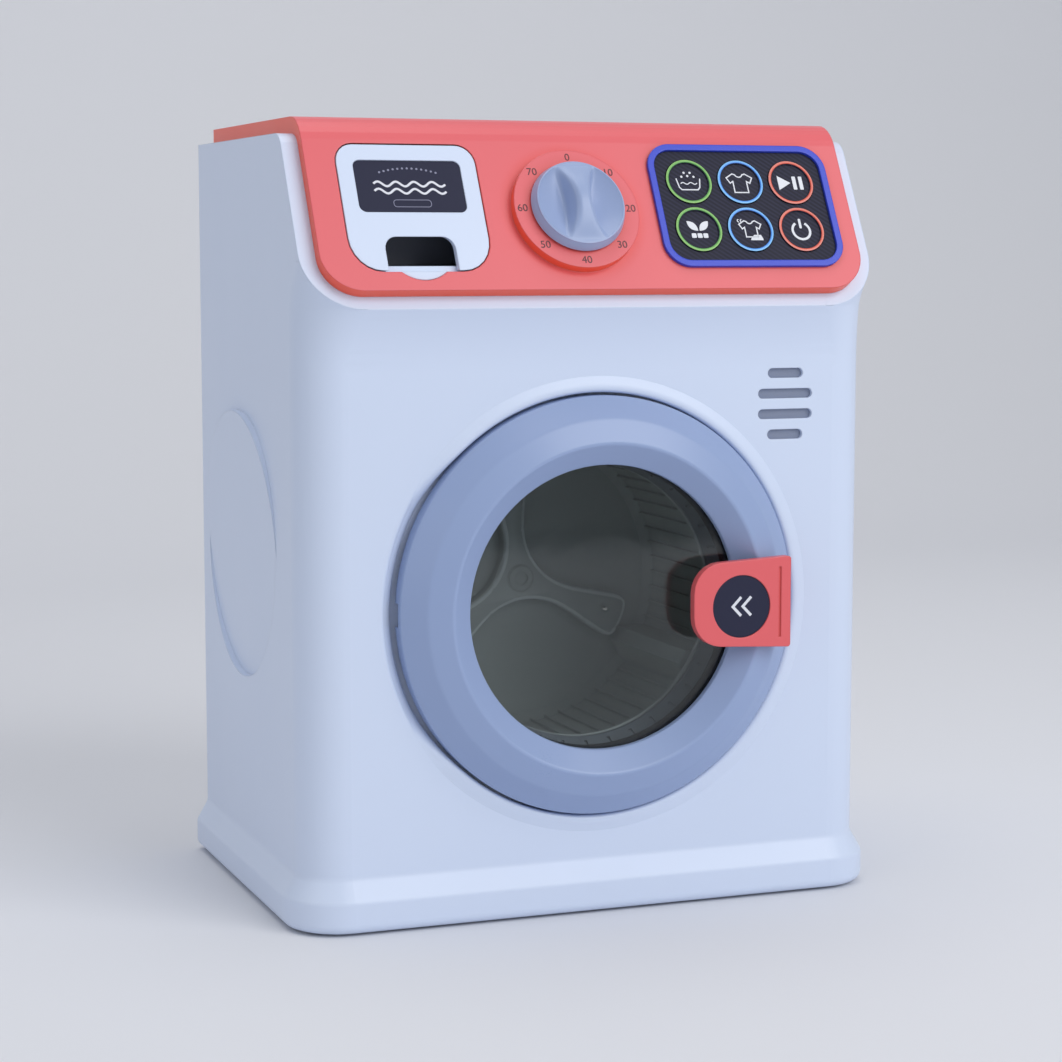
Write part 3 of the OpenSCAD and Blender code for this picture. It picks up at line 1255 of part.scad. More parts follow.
module rear_screws() color("silver") centred() {
    for (x = [-boss_x, boss_x], z = rear_screw_z) back_screw(x, z, body_d - 1.6, 8);
    back_screw(0, hatch_screw_z, body_d - 1.6, 6);
}
module base_screws() color("silver") centred()
    for (x = [-boss_x, boss_x], y = base_screw_y) translate([x, y, base_z + 1]) rotate([180, 0, 0]) screw(8);
module inner_screws() color("silver") centred() {
    for (p = tub_ears) back_screw(p[0], p[1], bracket_y + 5.4, 6);
    for (z = [-1, 1]) back_screw(bracket_screw_x, door_z + z * bracket_screw_z, bracket_y + 2, 3.4);
    for (p = gear_posts) back_screw(p[0], door_z + p[1], gear_cover_y + gear_cover_t, 6);
}

cabinet_shell();
rear_cover();
base_plate();
feet();
top_fascia();
drawer_chute();
drawer_front();
drawer_box();
drawer_label();
knob();
knob_click_wheel();
knob_click_spring();
touch_bezel();
touch_plate();
button_basin();
button_shirt();
button_play();
button_leaf();
button_iron();
button_power();
button_pad();
control_board();
speaker();
door_ring();
door_back();
door_window();
door_seal();
hinge_bracket();
hinge_pin();
latch_handle();
latch_badge();
latch_pin();
latch_spring();
interlock_pin();
interlock_spring();
interlock_cap();
mouth_ring();
tub();
drum();
drum_shaft();
drum_bush();
drum_gear();
reduction_gear();
reduction_axle();
gear_cover();
motor();
motor_pinion();
battery_contacts();
battery_cells();
battery_door();
rear_screws();
base_screws();
door_screws();
inner_screws();
panel_screws();
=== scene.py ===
"""Finish, printed marks and stage of a toy front-loading washing machine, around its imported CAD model."""

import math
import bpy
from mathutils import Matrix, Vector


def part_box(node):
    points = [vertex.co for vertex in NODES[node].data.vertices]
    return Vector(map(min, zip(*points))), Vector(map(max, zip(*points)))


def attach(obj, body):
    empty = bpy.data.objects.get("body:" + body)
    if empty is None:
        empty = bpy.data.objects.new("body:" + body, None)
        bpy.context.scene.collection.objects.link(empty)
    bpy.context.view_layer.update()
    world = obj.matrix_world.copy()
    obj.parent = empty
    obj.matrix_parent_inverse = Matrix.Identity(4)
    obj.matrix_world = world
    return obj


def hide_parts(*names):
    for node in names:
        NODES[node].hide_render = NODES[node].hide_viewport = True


bl_info = {
    "name": "Toy washing machine",
    "version": (1, 0, 0),
    "blender": (4, 5, 0),
    "location": "View3D > Sidebar > Toy washer",
    "description": "Dresses the packed toy washing machine and sets up its stage",
    "category": "Object",
}

import bmesh
import bpy
from bpy.props import FloatProperty, FloatVectorProperty, IntProperty, PointerProperty
from mathutils import Matrix, Vector

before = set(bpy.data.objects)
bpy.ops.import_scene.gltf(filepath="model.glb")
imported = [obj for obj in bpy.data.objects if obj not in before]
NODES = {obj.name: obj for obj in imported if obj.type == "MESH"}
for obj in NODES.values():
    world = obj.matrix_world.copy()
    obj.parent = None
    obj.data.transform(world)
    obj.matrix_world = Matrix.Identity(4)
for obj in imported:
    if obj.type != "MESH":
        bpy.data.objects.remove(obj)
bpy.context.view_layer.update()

MM = 0.001
PANEL_TILT = math.radians(28.4)  # lean of the control panel from upright
LEAN, RISE = math.sin(PANEL_TILT), math.cos(PANEL_TILT)
PANEL_FOOT = Vector((0, -64.4, 200.5)) * MM  # lower edge of the panel's rim, midway across
DIAL_PLATE_H = 7.4 * MM  # heights out of the panel's rim plane
BUTTON_DISH_H = 4.5 * MM
BUTTON_RIM_H = 4.9 * MM
LABEL_H = 3.9 * MM
DIAL_PLACE = (-6.5 * MM, 32.2 * MM)  # across the machine, and up the slope
LABEL_PLACE = (-60.8 * MM, 41.7 * MM)
TOUCH_PLACE = (55.4 * MM, 35 * MM)
BUTTON_PITCH = (18.8 * MM, 17.9 * MM)
FRONT_Y = -58.9  # the cabinet's front face, in millimetres
DOOR_CENTRE = Vector((0, FRONT_Y, 102.8)) * MM
SPEAKER_PLACE = Vector((67.4, FRONT_Y, 167.7)) * MM
BADGE_PLACE = Vector((44.4, -74.8, 102.3)) * MM
GREY = (0.5, 0.5, 0.5, 1.0)


# ---------- settings: colours and sizes ----------


def paint(code):
    """Linear colour of a paint chip written as 0xRRGGBB."""
    chips = [((code >> shift) & 255) / 255 for shift in (16, 8, 0)]
    return tuple(c / 12.92 if c <= 0.04045 else ((c + 0.055) / 1.055) ** 2.4 for c in chips) + (1.0,)


def toned(tint, times, lift=0.0):
    """The same colour, darker or lighter."""
    return tuple(min(1.0, c * times + lift) for c in tint[:3]) + (1.0,)


def colour(label, place, code):
    """A colour that can be changed in the panel."""
    about = "Colour of " + place
    return FloatVectorProperty(
        name=label, description=about, subtype="COLOR", size=4, min=0, max=1, default=paint(code)
    )


def length(label, about, default):
    """A length that can be changed in the panel."""
    return FloatProperty(
        name=label, description=about, subtype="DISTANCE", unit="LENGTH", min=0, default=default, precision=5
    )


def share(label, about, default):
    """A share from 0 to 1."""
    return FloatProperty(name=label, description=about, subtype="FACTOR", min=0, max=1, default=default)


def power(label, about, default):
    """The power of a lamp."""
    return FloatProperty(name=label, description=about, unit="POWER", min=0, default=default)


class WasherColours(bpy.types.PropertyGroup):
    shell: colour("Cabinet", "the cabinet, and the drawer's front", 0xD7E3F9)
    cover: colour("Covers", "the rear cover, the base plate and the battery door", 0xDDE3EC)
    fascia: colour("Fascia", "the coral fascia and its dial plate", 0xE96A70)
    latch: colour("Latch", "the latch's handle", 0xE9656A)
    ring: colour("Door ring", "the door's ring", 0x98ABD2)
    knob: colour("Knob", "the knob", 0x9CADD2)
    bezel: colour("Touch frame", "the frame round the touch panel", 0x3348CC)
    panel: colour("Touch panel", "the touch panel and the buttons", 0x1E1F35)
    label: colour("Label", "the drawer's label and the latch's badge", 0x24263F)
    charcoal: colour("Drawer tray", "the drawer's tray", 0x5C5F69)
    drum: colour("Drum", "the drum", 0xBBC0BC)
    # The relief's edges are near white: a painted highlight where light would catch them.
    edge: colour("Relief edge", "the polished edges of the drum's relief", 0xF2F6F6)
    mouth: colour("Mouth ring", "the ring round the drum's mouth", 0x6F767C)
    tub: colour("Tub", "the tub", 0x3A3D40)
    cloth: colour("Speaker cloth", "the cloth in the speaker's slots", 0xA3ADC6)
    window: colour("Window", "the window", 0xC4CCD0)
    gears: colour("Gears", "the gear wheels", 0xE9E4D2)


class MarkSizes(bpy.types.PropertyGroup):
    line: length("Line", "Width of the lines in the button marks", 0.42 * MM)
    ink: length("Ink", "Thickness of a printed mark", 0.07 * MM)
    ring_in: length("Ring, inside", "Inner radius of a button's light ring", 7.25 * MM)
    ring_out: length("Ring, outside", "Outer radius of a button's light ring", 8.15 * MM)
    ring_h: length("Ring height", "How far a light ring stands out of its button", 0.2 * MM)
    glow: share("Glow", "Strength of the light in the rings", 0.28)
    number_h: length("Numbers", "Height of the dial's numbers", 2.7 * MM)
    number_r: length("Number circle", "Radius of the circle that the numbers stand on", 18.8 * MM)
    numbers: IntProperty(
        name="Count", description="How many numbers stand round the dial", default=8, min=4, max=12
    )


class FormSizes(bpy.types.PropertyGroup):
    bar_w: length("Bar width", "Width of the knob's bar at its middle", 4.8 * MM)
    bar_h: length("Bar height", "How far the knob's bar stands above its rim", 3.8 * MM)
    dish: length("Dish", "Depth of the hollows beside the knob's bar", 3.4 * MM)
    ribs: IntProperty(
        name="Drum ribs", description="How many fine ribs run along the drum's wall", default=60, min=12
    )
    arm_r: length("Relief arms", "Reach of the arms of the drum's relief", 43 * MM)
    bite_r: length("Relief bites", "Radius of the bites between the arms", 23 * MM)
    bite_away: length("Bite centres", "Distance of the bites' centres from the drum's axis", 31 * MM)
    relief_turn: FloatProperty(
        name="Relief turn", description="Direction of the first bite", subtype="ANGLE", unit="ROTATION",
        default=math.radians(37),
    )
    cloth_depth: length("Cloth depth", "How deep the speaker cloth lies in its slots", 1.3 * MM)
    cloth_t: length("Cloth", "Thickness of the speaker cloth", 0.3 * MM)


class StageLooks(bpy.types.PropertyGroup):
    floor: colour("Floor", "the floor and the backdrop", 0xE5E6EB)
    key: power("Key light", "Power of the large front light", 16)
    fill: power("Fill light", "Power of the light from the left", 2)
    top: power("Top light", "Power of the light overhead", 7)
    sky: share("Sky", "Brightness of the room round the stage", 0.42)
    lens: FloatProperty(
        name="Lens", description="Focal length of the camera", unit="CAMERA", default=86, min=20
    )


# ---------- shader groups ----------


class Wiring:
    """Adds shader nodes to a node tree and joins them."""

    def __init__(self, tree):
        self.tree = tree

    def add(self, kind, settings=None, **inputs):
        """A node with its settings and inputs. Its kind is given without the ShaderNode before it.

        An underscore stands for a space in a socket's name.
        """
        node = self.tree.nodes.new("ShaderNode" + kind)
        for key, value in (settings or {}).items():
            setattr(node, key, value)
        for key, value in inputs.items():
            self.feed(node, key.replace("_", " "), value)
        return node

    def feed(self, node, socket, value):
        """Joins a socket to an input, found by its name or number, or sets the input to a value."""
        target = node.inputs[socket]
        if isinstance(value, bpy.types.NodeSocket):
            self.tree.links.new(value, target)
        else:
            target.default_value = value

    def math(self, operation, *values):
        """One step of arithmetic on up to three values."""
        node = self.add("Math", {"operation": operation})
        for index in range(3):
            self.feed(node, index, values[index] if index < len(values) else 0.0)
        return node.outputs[0]

    def spread(self, value, low, high):
        """Maps 0..1 to low..high."""
        return self.math("MULTIPLY_ADD", value, high - low, low)

    def mix(self, factor, first, second, blend="MIX"):
        """A mix of two colours."""
        node = self.add("Mix", {"data_type": "RGBA", "blend_type": blend})
        for index, value in ((0, factor), (6, first), (7, second)):
            self.feed(node, index, value)
        return node.outputs[2]

    def place(self, kind="Object"):
        """The part's own coordinates, or another kind of place on it."""
        return self.add("TexCoord").outputs[kind]

    def noise(self, scale, detail=2.0, stretch=None, roughness=0.5):
        """Noise in the part's own coordinates, in features per metre, stretched if asked."""
        place = self.place()
        if stretch:
            place = self.add("Mapping", Vector=place, Scale=stretch).outputs[0]
        return self.add("TexNoise", Vector=place, Scale=scale, Detail=detail, Roughness=roughness).outputs[0]

    def group(self, name, **inputs):
        """The outputs of a shader group, which is built the first time that it is asked for."""
        tree = bpy.data.node_groups.get(name) or GROUPS[name](name)
        return self.add("Group", {"node_tree": tree}, **inputs).outputs


def new_group(name, inputs, outputs):
    """A shader group with named sockets: kinds are c for colour and f for a number."""
    tree = bpy.data.node_groups.new(name, "ShaderNodeTree")
    kinds = {"c": "NodeSocketColor", "f": "NodeSocketFloat"}
    for label, (kind, default) in inputs.items():
        socket = tree.interface.new_socket(label, in_out="INPUT", socket_type=kinds[kind])
        socket.default_value = default
    for label, kind in outputs.items():
        tree.interface.new_socket(label, in_out="OUTPUT", socket_type=kinds[kind])
    return Wiring(tree), tree.nodes.new("NodeGroupInput").outputs, tree.nodes.new("NodeGroupOutput")


def moulded_skin(name):
    """Moulded plastic: cloudy tone, faint flow lines and a fine grain."""
    w, given, out = new_group(
        name,
        {"Colour": ("c", GREY), "Tone": ("f", 0.04), "Gloss": ("f", 0.3), "Grain": ("f", 900.0)},
        {"Colour": "c", "Roughness": "f", "Height": "f"},
    )
    cloud = w.noise(9.0, 3.0)
    flow = w.noise(26.0, 4.0, stretch=(1.0, 1.0, 0.25), roughness=0.6)
    shade = w.math("ADD", w.math("MULTIPLY", cloud, 0.65), w.math("MULTIPLY", flow, 0.35))
    dark = w.math("MULTIPLY", given["Tone"], w.spread(shade, -1.0, 1.0))
    level = w.math("SUBTRACT", 1.0, dark)
    rgb = w.add("CombineColor", Red=level, Green=level, Blue=w.math("ADD", level, 0.003))
    w.feed(out, "Colour", w.mix(1.0, given["Colour"], rgb.outputs[0], "MULTIPLY"))
    grain = w.add("TexNoise", Vector=w.place(), Scale=given["Grain"], Detail=3.0).outputs[0]
    w.feed(out, "Height", grain)
    rough = w.math("ADD", given["Gloss"], w.spread(flow, -0.05, 0.05))
    w.feed(out, "Roughness", w.math("ADD", rough, w.spread(grain, -0.03, 0.03)))
    return w.tree


def seam_shade(name):
    """Paints shade into narrow seams and inner corners, in uneven patches, darker where a place is more
    closed in.
    """
    w, given, out = new_group(
        name, {"Colour": ("c", GREY), "Shade": ("c", GREY), "Amount": ("f", 0.4)}, {"Colour": "c"}
    )
    open_sky = w.add("AmbientOcclusion", {"samples": 6}, Distance=0.0045).outputs["AO"]
    closed = w.math("SUBTRACT", 1.0, w.math("POWER", open_sky, 1.4))
    patchy = w.math("MULTIPLY", closed, w.spread(w.noise(160.0, 3.0), 0.6, 1.2))
    w.feed(out, "Colour", w.mix(w.math("MULTIPLY", patchy, given["Amount"]), given["Colour"], given["Shade"]))
    return w.tree


def drawn_metal(name):
    """Drawn or rolled metal: fine lines along one axis, and uneven lustre."""
    w, given, out = new_group(
        name,
        {"Colour": ("c", GREY), "Roughness": ("f", 0.3)},
        {"Colour": "c", "Roughness": "f", "Height": "f"},
    )
    lines = w.noise(2600.0, 2.0, stretch=(1.0, 0.04, 1.0))
    tint = w.spread(w.noise(90.0, 3.0), 0.86, 1.08)
    rgb = w.add("CombineColor", Red=tint, Green=tint, Blue=tint)
    w.feed(out, "Colour", w.mix(1.0, given["Colour"], rgb.outputs[0], "MULTIPLY"))
    w.feed(out, "Roughness", w.math("ADD", given["Roughness"], w.spread(lines, -0.12, 0.16)))
    w.feed(out, "Height", lines)
    return w.tree


GROUPS = {"Moulded skin": moulded_skin, "Seam shade": seam_shade, "Drawn metal": drawn_metal}


# ---------- materials ----------


class Finish(Wiring):
    """A new material, with its shader and the nodes that feed it."""

    def __init__(self, name):
        self.material = bpy.data.materials.new(name)
        self.material.use_nodes = True
        super().__init__(self.material.node_tree)
        self.shader = self.tree.nodes["Principled BSDF"]

    def close(self, colour, roughness, bump=(), normal=None, **others):
        """Feeds the shader. A bump has a height, a strength and a distance, and may lie on another normal."""
        if bump:
            node = self.add("Bump", Height=bump[0], Strength=bump[1], Distance=bump[2])
            if normal is not None:
                self.feed(node, "Normal", normal)
            others["Normal"] = node.outputs[0]
        for key, value in dict(Base_Color=colour, Roughness=roughness, **others).items():
            self.feed(self.shader, key.replace("_", " "), value)
        return self.material


FINE = {"grain": 2600.0, "depth": 0.000004}  # close grain of a polished mould
SATIN = {"grain": 2000.0, "depth": 0.000006, "round_r": 0.0006}


def moulded(name, tint, gloss=0.3, tone=0.035, grain=900.0, depth=0.00001, seam=0.3, round_r=0.0,
            shade=None, shine=0.5, side_shade_tint=None):
    """Moulded plastic with soft edges and painted shade in its seams, and warmer painted shade on its side
    walls where asked.
    """
    w = Finish(name)
    skin = w.group("Moulded skin", Colour=tint, Tone=tone, Gloss=gloss, Grain=grain)
    surface = skin["Colour"]
    if side_shade_tint:
        # Painted shade: faces turned away from the front and the top take the warmer side-wall colour.
        surface = w.mix(side_shade_mask(w), surface, side_shade_tint)
    # Painted shade in seams and inner corners; seam sets its strength, 0.3 unless a material sets another.
    if seam:
        surface = w.group("Seam shade", Colour=surface, Shade=shade or toned(tint, 0.42), Amount=seam)[0]
    soft = w.add("Bevel", {"samples": 8}, Radius=round_r).outputs[0] if round_r else None
    return w.close(surface, skin["Roughness"], (skin["Height"], 0.35, depth), soft, Specular_IOR_Level=shine)


def side_shade_mask(w):
    """How far a face looks away from both the panel's front and the top, from 0 to 0.8; it masks painted
    shade.
    """
    parts = w.add("SeparateXYZ", Vector=w.place("Normal")).outputs
    front = w.math("MULTIPLY_ADD", parts["Y"], -RISE, w.math("MULTIPLY", parts["Z"], LEAN))
    facing = w.math("MAXIMUM", front, parts["Z"])
    return w.math("MULTIPLY", w.math("MINIMUM", w.math("MULTIPLY_ADD", facing, -2.2, 1.85), 1.0), 0.8)


def metal(name, tint, roughness=0.28):
    """Plated or bare metal with fine lines."""
    w = Finish(name)
    drawn = w.group("Drawn metal", Colour=tint, Roughness=roughness)
    return w.close(drawn["Colour"], drawn["Roughness"], (drawn["Height"], 0.3, 0.00001), Metallic=1.0)


def rubber(name, tint):
    """Dull, coarse-skinned rubber."""
    w = Finish(name)
    skin = w.group("Moulded skin", Colour=tint, Tone=0.12, Gloss=0.72, Grain=2200.0)
    bump = (skin["Height"], 0.6, 0.00003)
    return w.close(skin["Colour"], skin["Roughness"], bump, Specular_IOR_Level=0.3)


def hatched(name, tint):
    """Dark printed panel with a fine slanting hatch."""
    w = Finish(name)
    waves = w.add("TexWave", {"bands_direction": "DIAGONAL"}, Vector=w.place(), Scale=260.0, Distortion=0.0)
    lines = w.add("MapRange", Value=waves.outputs["Fac"], From_Min=0.35, From_Max=0.75).outputs[0]
    cloud = w.noise(60.0, 3.0)
    ink = w.math("MULTIPLY", lines, w.spread(cloud, 0.5, 1.0))
    surface = w.mix(ink, toned(tint, 0.72), toned(tint, 1.5, 0.004))
    return w.close(surface, w.spread(cloud, 0.42, 0.56), (lines, 0.2, 0.00002), Specular_IOR_Level=0.25)


def woven(name, tint):
    """Fine speaker cloth."""
    w = Finish(name)
    place = w.place()
    threads = [w.add("TexWave", {"bands_direction": way}, Vector=place, Scale=900.0) for way in "XZ"]
    weave = w.math("MULTIPLY", *(thread.outputs["Fac"] for thread in threads))
    surface = w.mix(weave, toned(tint, 0.6), tint)
    return w.close(surface, w.spread(w.noise(300.0), 0.75, 0.9), (weave, 0.5, 0.0001))


def clear_window(name, tint):
    """Clear moulded window, faintly hazy, with a faint shadow so that light reaches what is behind it."""
    w = Finish(name)
    haze = w.noise(38.0, 4.0)
    clear = w.math("MULTIPLY_ADD", w.add("LightPath").outputs["Is Shadow Ray"], -0.85, 1.0)
    return w.close(
        w.mix(w.spread(haze, 0.0, 0.5), tint, toned(tint, 0.9)), w.spread(haze, 0.02, 0.07),
        Alpha=clear, Transmission_Weight=1.0, IOR=1.42,
    )


def lit_ring(name, inner, outer, strength):
    """Light guide of a button: deep colour at its inner edge, pale at its outer edge."""
    w = Finish(name)
    across = w.add("SeparateXYZ", Vector=w.place("UV")).outputs["Y"]
    soft = w.add("MapRange", {"interpolation_type": "SMOOTHSTEP"}, Value=across)
    glow = w.mix(soft.outputs[0], inner, outer)
    patch = w.mix(w.spread(w.noise(300.0), 0.0, 0.25), glow, toned(inner, 0.7))
    rough = w.spread(w.noise(500.0), 0.22, 0.36)
    return w.close(patch, rough, Emission_Color=patch, Emission_Strength=strength)


def circuit_board(name, tint):
    """Solder mask with faint copper tracks under it."""
    w = Finish(name)
    cells = w.add(
        "TexBrick", {"offset": 0.37, "squash": 1.4}, Vector=w.place(), Scale=120.0,
        Color1=tint, Color2=toned(tint, 0.8), Mortar=toned(tint, 1.9), Mortar_Size=0.06,
    ).outputs
    return w.close(cells["Color"], w.spread(w.noise(200.0), 0.3, 0.45), (cells["Fac"], 0.4, 0.00004))


def printed(name, tint):
    """Pad-printed ink, slightly uneven."""
    w = Finish(name)
    thin = w.noise(420.0, 3.0)
    surface = w.mix(w.spread(thin, 0.0, 0.3), tint, toned(tint, 0.8))
    return w.close(surface, w.spread(thin, 0.34, 0.52), (w.noise(3000.0), 0.3, 0.00001))


def show(name, data):
    """A new object in the scene."""
    made = bpy.data.objects.new(name, data)
    bpy.context.scene.collection.objects.link(made)
    return made


def dress(material, *names):
    """Puts the material on the CAD nodes."""
    for name in names:
        for held in NODES[name].material_slots:
            held.material = material


def add_piece(mesh, material, body):
    """A new piece that rides on a body and takes its finish from a slot."""
    mesh.materials.append(material)
    piece = show(mesh.name, mesh)
    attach(piece, body)
    return piece


# ---------- mesh helpers ----------


def make_mesh(bm, name, place=None, crisp=None, outward=True):
    """Turns worked faces into a mesh. With a place, it is set there and scaled from millimetres to metres.

    Edges that turn more than crisp degrees stay sharp.
    """
    if outward:
        bmesh.ops.recalc_face_normals(bm, faces=bm.faces)
    mesh = bpy.data.meshes.new(name)
    bm.to_mesh(mesh)
    bm.free()
    if crisp:
        mesh.set_sharp_from_angle(angle=math.radians(crisp))
    if place:
        mesh.transform(place @ Matrix.Scale(MM, 4))
    return mesh


def spokes(count):
    """Cosine and sine of equal steps round a circle."""
    turns = (2 * math.pi * k / count for k in range(count))
    return [(math.cos(turn), math.sin(turn)) for turn in turns]


def bridge(bm, rings, closed=False):
    """Smooth faces between each ring of vertices and the next, and back to the first if closed."""
    pairs = list(zip(rings, rings[1:])) + ([(rings[-1], rings[0])] if closed else [])
    for near, far in pairs:
        for k in range(len(near)):
            after = (k + 1) % len(near)
            bm.faces.new((near[k], far[k], far[after], near[after])).smooth = True


def panel_place(x, s, h):
    """Frame of a spot on the leaning panel: X across, Y up the slope, Z out of it."""
    spot = PANEL_FOOT + Vector((x, s * LEAN - h * RISE, s * RISE + h * LEAN))
    turn = Matrix(((1, 0, 0), (0, LEAN, -RISE), (0, RISE, LEAN))).to_4x4()
    return Matrix.Translation(spot) @ turn


def front_place(spot):
    """Frame of a spot on an upright front face: X across, Y up, Z towards the front."""
    turn = Matrix(((1, 0, 0), (0, 0, -1), (0, 1, 0))).to_4x4()
    return Matrix.Translation(spot) @ turn


# ---------- the cabinet ----------


def ease(t):
    """Falls from 1 at 0 to 0 at 1, and stays there."""
    return (1 - min(t, 1)) ** 2


class Cove:
    """The smooth form under the panel's rim, in millimetres, with depths from the cabinet's front face."""

    half_w, corner_r, rim_z, rim_out, rim_r, drop = 100.0, 15.0, 200.5, 5.5, 20.0, 20.5
    up = 15.1  # how far the form reaches above the rim's lower edge
    near_front, near_corner, near_rim = 0.4, 1.35, 0.03  # how far off a place may lie and still belong to it

    def front(self, z):
        """Depth of the front at this height."""
        return -self.rim_out * ease((self.rim_z - z) / self.drop)

    def side(self, z):
        """Depth at which the flat side begins."""
        whole = self.rim_r * LEAN - self.rim_out - self.corner_r
        return self.corner_r + whole * ease((self.rim_z + self.rim_r * RISE - z) / self.drop)

    def corner(self, z):
        """Radius of the corner, and the angle at which it meets the front or the rim."""
        if z < self.rim_z + 0.1:
            return self.side(z) - self.front(z), math.pi / 2
        turn = math.asin(min(1, max(-1, 1 - (z - self.rim_z) / RISE / self.rim_r)))
        across = max(self.rim_r * (1 - math.cos(turn)), 1e-4)
        deep = self.side(z) + self.rim_out - self.rim_r * (1 - math.sin(turn)) * LEAN
        radius = (across * across + deep * deep) / (2 * across)
        return radius, math.atan2(deep, radius - across)

    def fit(self, spot):
        """The nearest place on the smooth form and its normal, or None away from it."""
        x, y, z = abs(spot.x) / MM, spot.y / MM - FRONT_Y, spot.z / MM
        if not self.rim_z - self.drop < z < self.rim_z + self.up:
            return None
        radius, end = self.corner(z)
        mid_x, mid_y = self.half_w - radius, self.side(z)
        if x < mid_x and z < self.rim_z and abs(y - self.front(z)) < self.near_front:
            slope = (self.front(z + 0.05) - self.front(z - 0.05)) / 0.1
            place = Vector((spot.x, (self.front(z) + FRONT_Y) * MM, spot.z))
            return place, Vector((0, -1, slope)).normalized()
        if x < mid_x or y > mid_y or abs(math.hypot(x - mid_x, y - mid_y) - radius) > self.near_corner:
            return None
        rim_y = (z - self.rim_z) * LEAN / RISE - self.rim_out
        on_rim = z > self.rim_z and abs(y - rim_y) < self.near_rim
        turn = end if on_rim else min(math.atan2(mid_y - y, x - mid_x), end)
        x, y = mid_x + radius * math.cos(turn), mid_y - radius * math.sin(turn)
        slope = (self.outside(x, y, z + 0.1) - self.outside(x, y, z - 0.1)) / 0.2
        side = math.copysign(1, spot.x)
        normal = Vector((math.cos(turn) * side, -math.sin(turn), slope)).normalized()
        return Vector((x * side * MM, (y + FRONT_Y) * MM, spot.z)), normal

    def outside(self, x, y, z):
        """How far a place is outside the smooth corner at this height."""
        radius = self.corner(z)[0]
        return math.hypot(x - self.half_w + radius, y - self.side(z)) - radius


def cabinet_mesh():
    """The cabinet with its cove drawn smooth."""
    longest = (2.4, 1.2, 0.7)  # edges that each pass leaves on the cove, in millimetres
    flat = 0.999
    cove = Cove()
    source = NODES["cabinet_shell"].data
    bm = bmesh.new()
    bm.from_mesh(source)
    kept = bm.loops.layers.float_vector.new("kept_normal")
    bm.faces.ensure_lookup_table()
    for face, held in zip(bm.faces, source.polygons):
        for loop, corner in zip(face.loops, held.loop_indices):
            loop[kept] = source.corner_normals[corner].vector
    for reach in longest:
        found = {vertex for vertex in bm.verts if cove.fit(vertex.co)}
        long = [edge for edge in bm.edges if edge.calc_length() > reach * MM and found.issuperset(edge.verts)]
        bmesh.ops.subdivide_edges(bm, edges=long, cuts=1)
        bmesh.ops.triangulate(bm, faces=[face for face in bm.faces if len(face.verts) > 3])
    fitted = {vertex: cove.fit(vertex.co) for vertex in bm.verts}
    rim_face = Vector((0, -RISE, LEAN))
    for face in bm.faces:
        if face.normal.dot(rim_face) > flat or not all(fitted[vertex] for vertex in face.verts):
            continue
        face.smooth = True
        for loop in face.loops:
            loop[kept] = fitted[loop.vert][1]
    for vertex, found in fitted.items():
        if found:
            vertex.co = found[0]
    mesh = make_mesh(bm, "cabinet_skin", outward=False)
    normals = [item.vector.copy() for item in mesh.attributes["kept_normal"].data]
    mesh.attributes.remove(mesh.attributes["kept_normal"])
    mesh.normals_split_custom_set([normal.normalized() for normal in normals])
    return mesh


def rim_mesh(count=360):
    """The lip round the door's recess, lowered to a slope where the door's edge rolls in at the hinge."""
    lip = (
        (70.1, 6.2), (70.1, 0.2), (70.35, -0.45), (71.0, -0.9), (71.9, -1.0), (73.0, -0.75), (74.2, -0.3),
        (75.6, 0.05),
    )  # radius, and depth behind the cabinet's front, in millimetres
    slope = (
        (70.8, 6.2), (70.8, 3.5), (71.3, 3.0), (72.3, 2.1), (73.3, 1.25), (74.2, 0.55), (74.8, 0.25),
        (75.6, 0.05),
    )
    hidden = [(75.0, 1.2), (74.4, 2.4), (74.4, 6.2)]
    hinge_at, low_within, blend = 180, 25.5, 24  # degrees round the door
    bm = bmesh.new()
    rings = []
    for k, (across, up) in enumerate(spokes(count)):
        part = min(max((abs(360 * k / count - hinge_at) - low_within) / blend, 0), 1)
        part *= part * (3 - 2 * part)
        section = [(a[0] + (b[0] - a[0]) * part, a[1] + (b[1] - a[1]) * part) for a, b in zip(slope, lip)]
        rings.append([bm.verts.new((r * across, deep, r * up)) for r, deep in section + hidden])
    bridge(bm, rings, closed=True)
    return make_mesh(bm, "door_rim", Matrix.Translation(DOOR_CENTRE), 60)


# ---------- the drawer's tray and the knob ----------


def tray_mesh():
    """The drawer's tray, with its long edges rounded."""
    low_r, high_r, shortest, same = 0.6 * MM, 0.3 * MM, 15 * MM, 1e-6
    bm = bmesh.new()
    bm.from_mesh(NODES["drawer_box"].data)
    bmesh.ops.remove_doubles(bm, verts=bm.verts, dist=same)
    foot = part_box("drawer_box")[0][2]

    def runs_along(edge):
        """Whether an edge is a long corner that runs from front to back."""
        way = edge.verts[0].co - edge.verts[1].co
        level = abs(way.x) < same and abs(way.z) < same
        return level and way.length > shortest and not edge.is_boundary and edge.calc_face_angle(0) > 1.0

    long = [edge for edge in bm.edges if runs_along(edge)]
    low = [edge for edge in long if edge.verts[0].co.z < foot + 10 * same]
    high = [edge for edge in long if edge not in low]
    bmesh.ops.bevel(bm, geom=low, offset=low_r, segments=3, profile=0.5, affect="EDGES")
    high = [edge for edge in high if edge.is_valid]
    bmesh.ops.bevel(bm, geom=high, offset=high_r, segments=2, profile=0.5, affect="EDGES")
    return make_mesh(bm, "drawer_tray", outward=False)


def shaft_foot(node):
    """Lowest height of a node out of the panel's rim plane, in millimetres."""
    out = Vector((0, -RISE, LEAN))
    return min((vertex.co - PANEL_FOOT).dot(out) for vertex in NODES[node].data.vertices) / MM


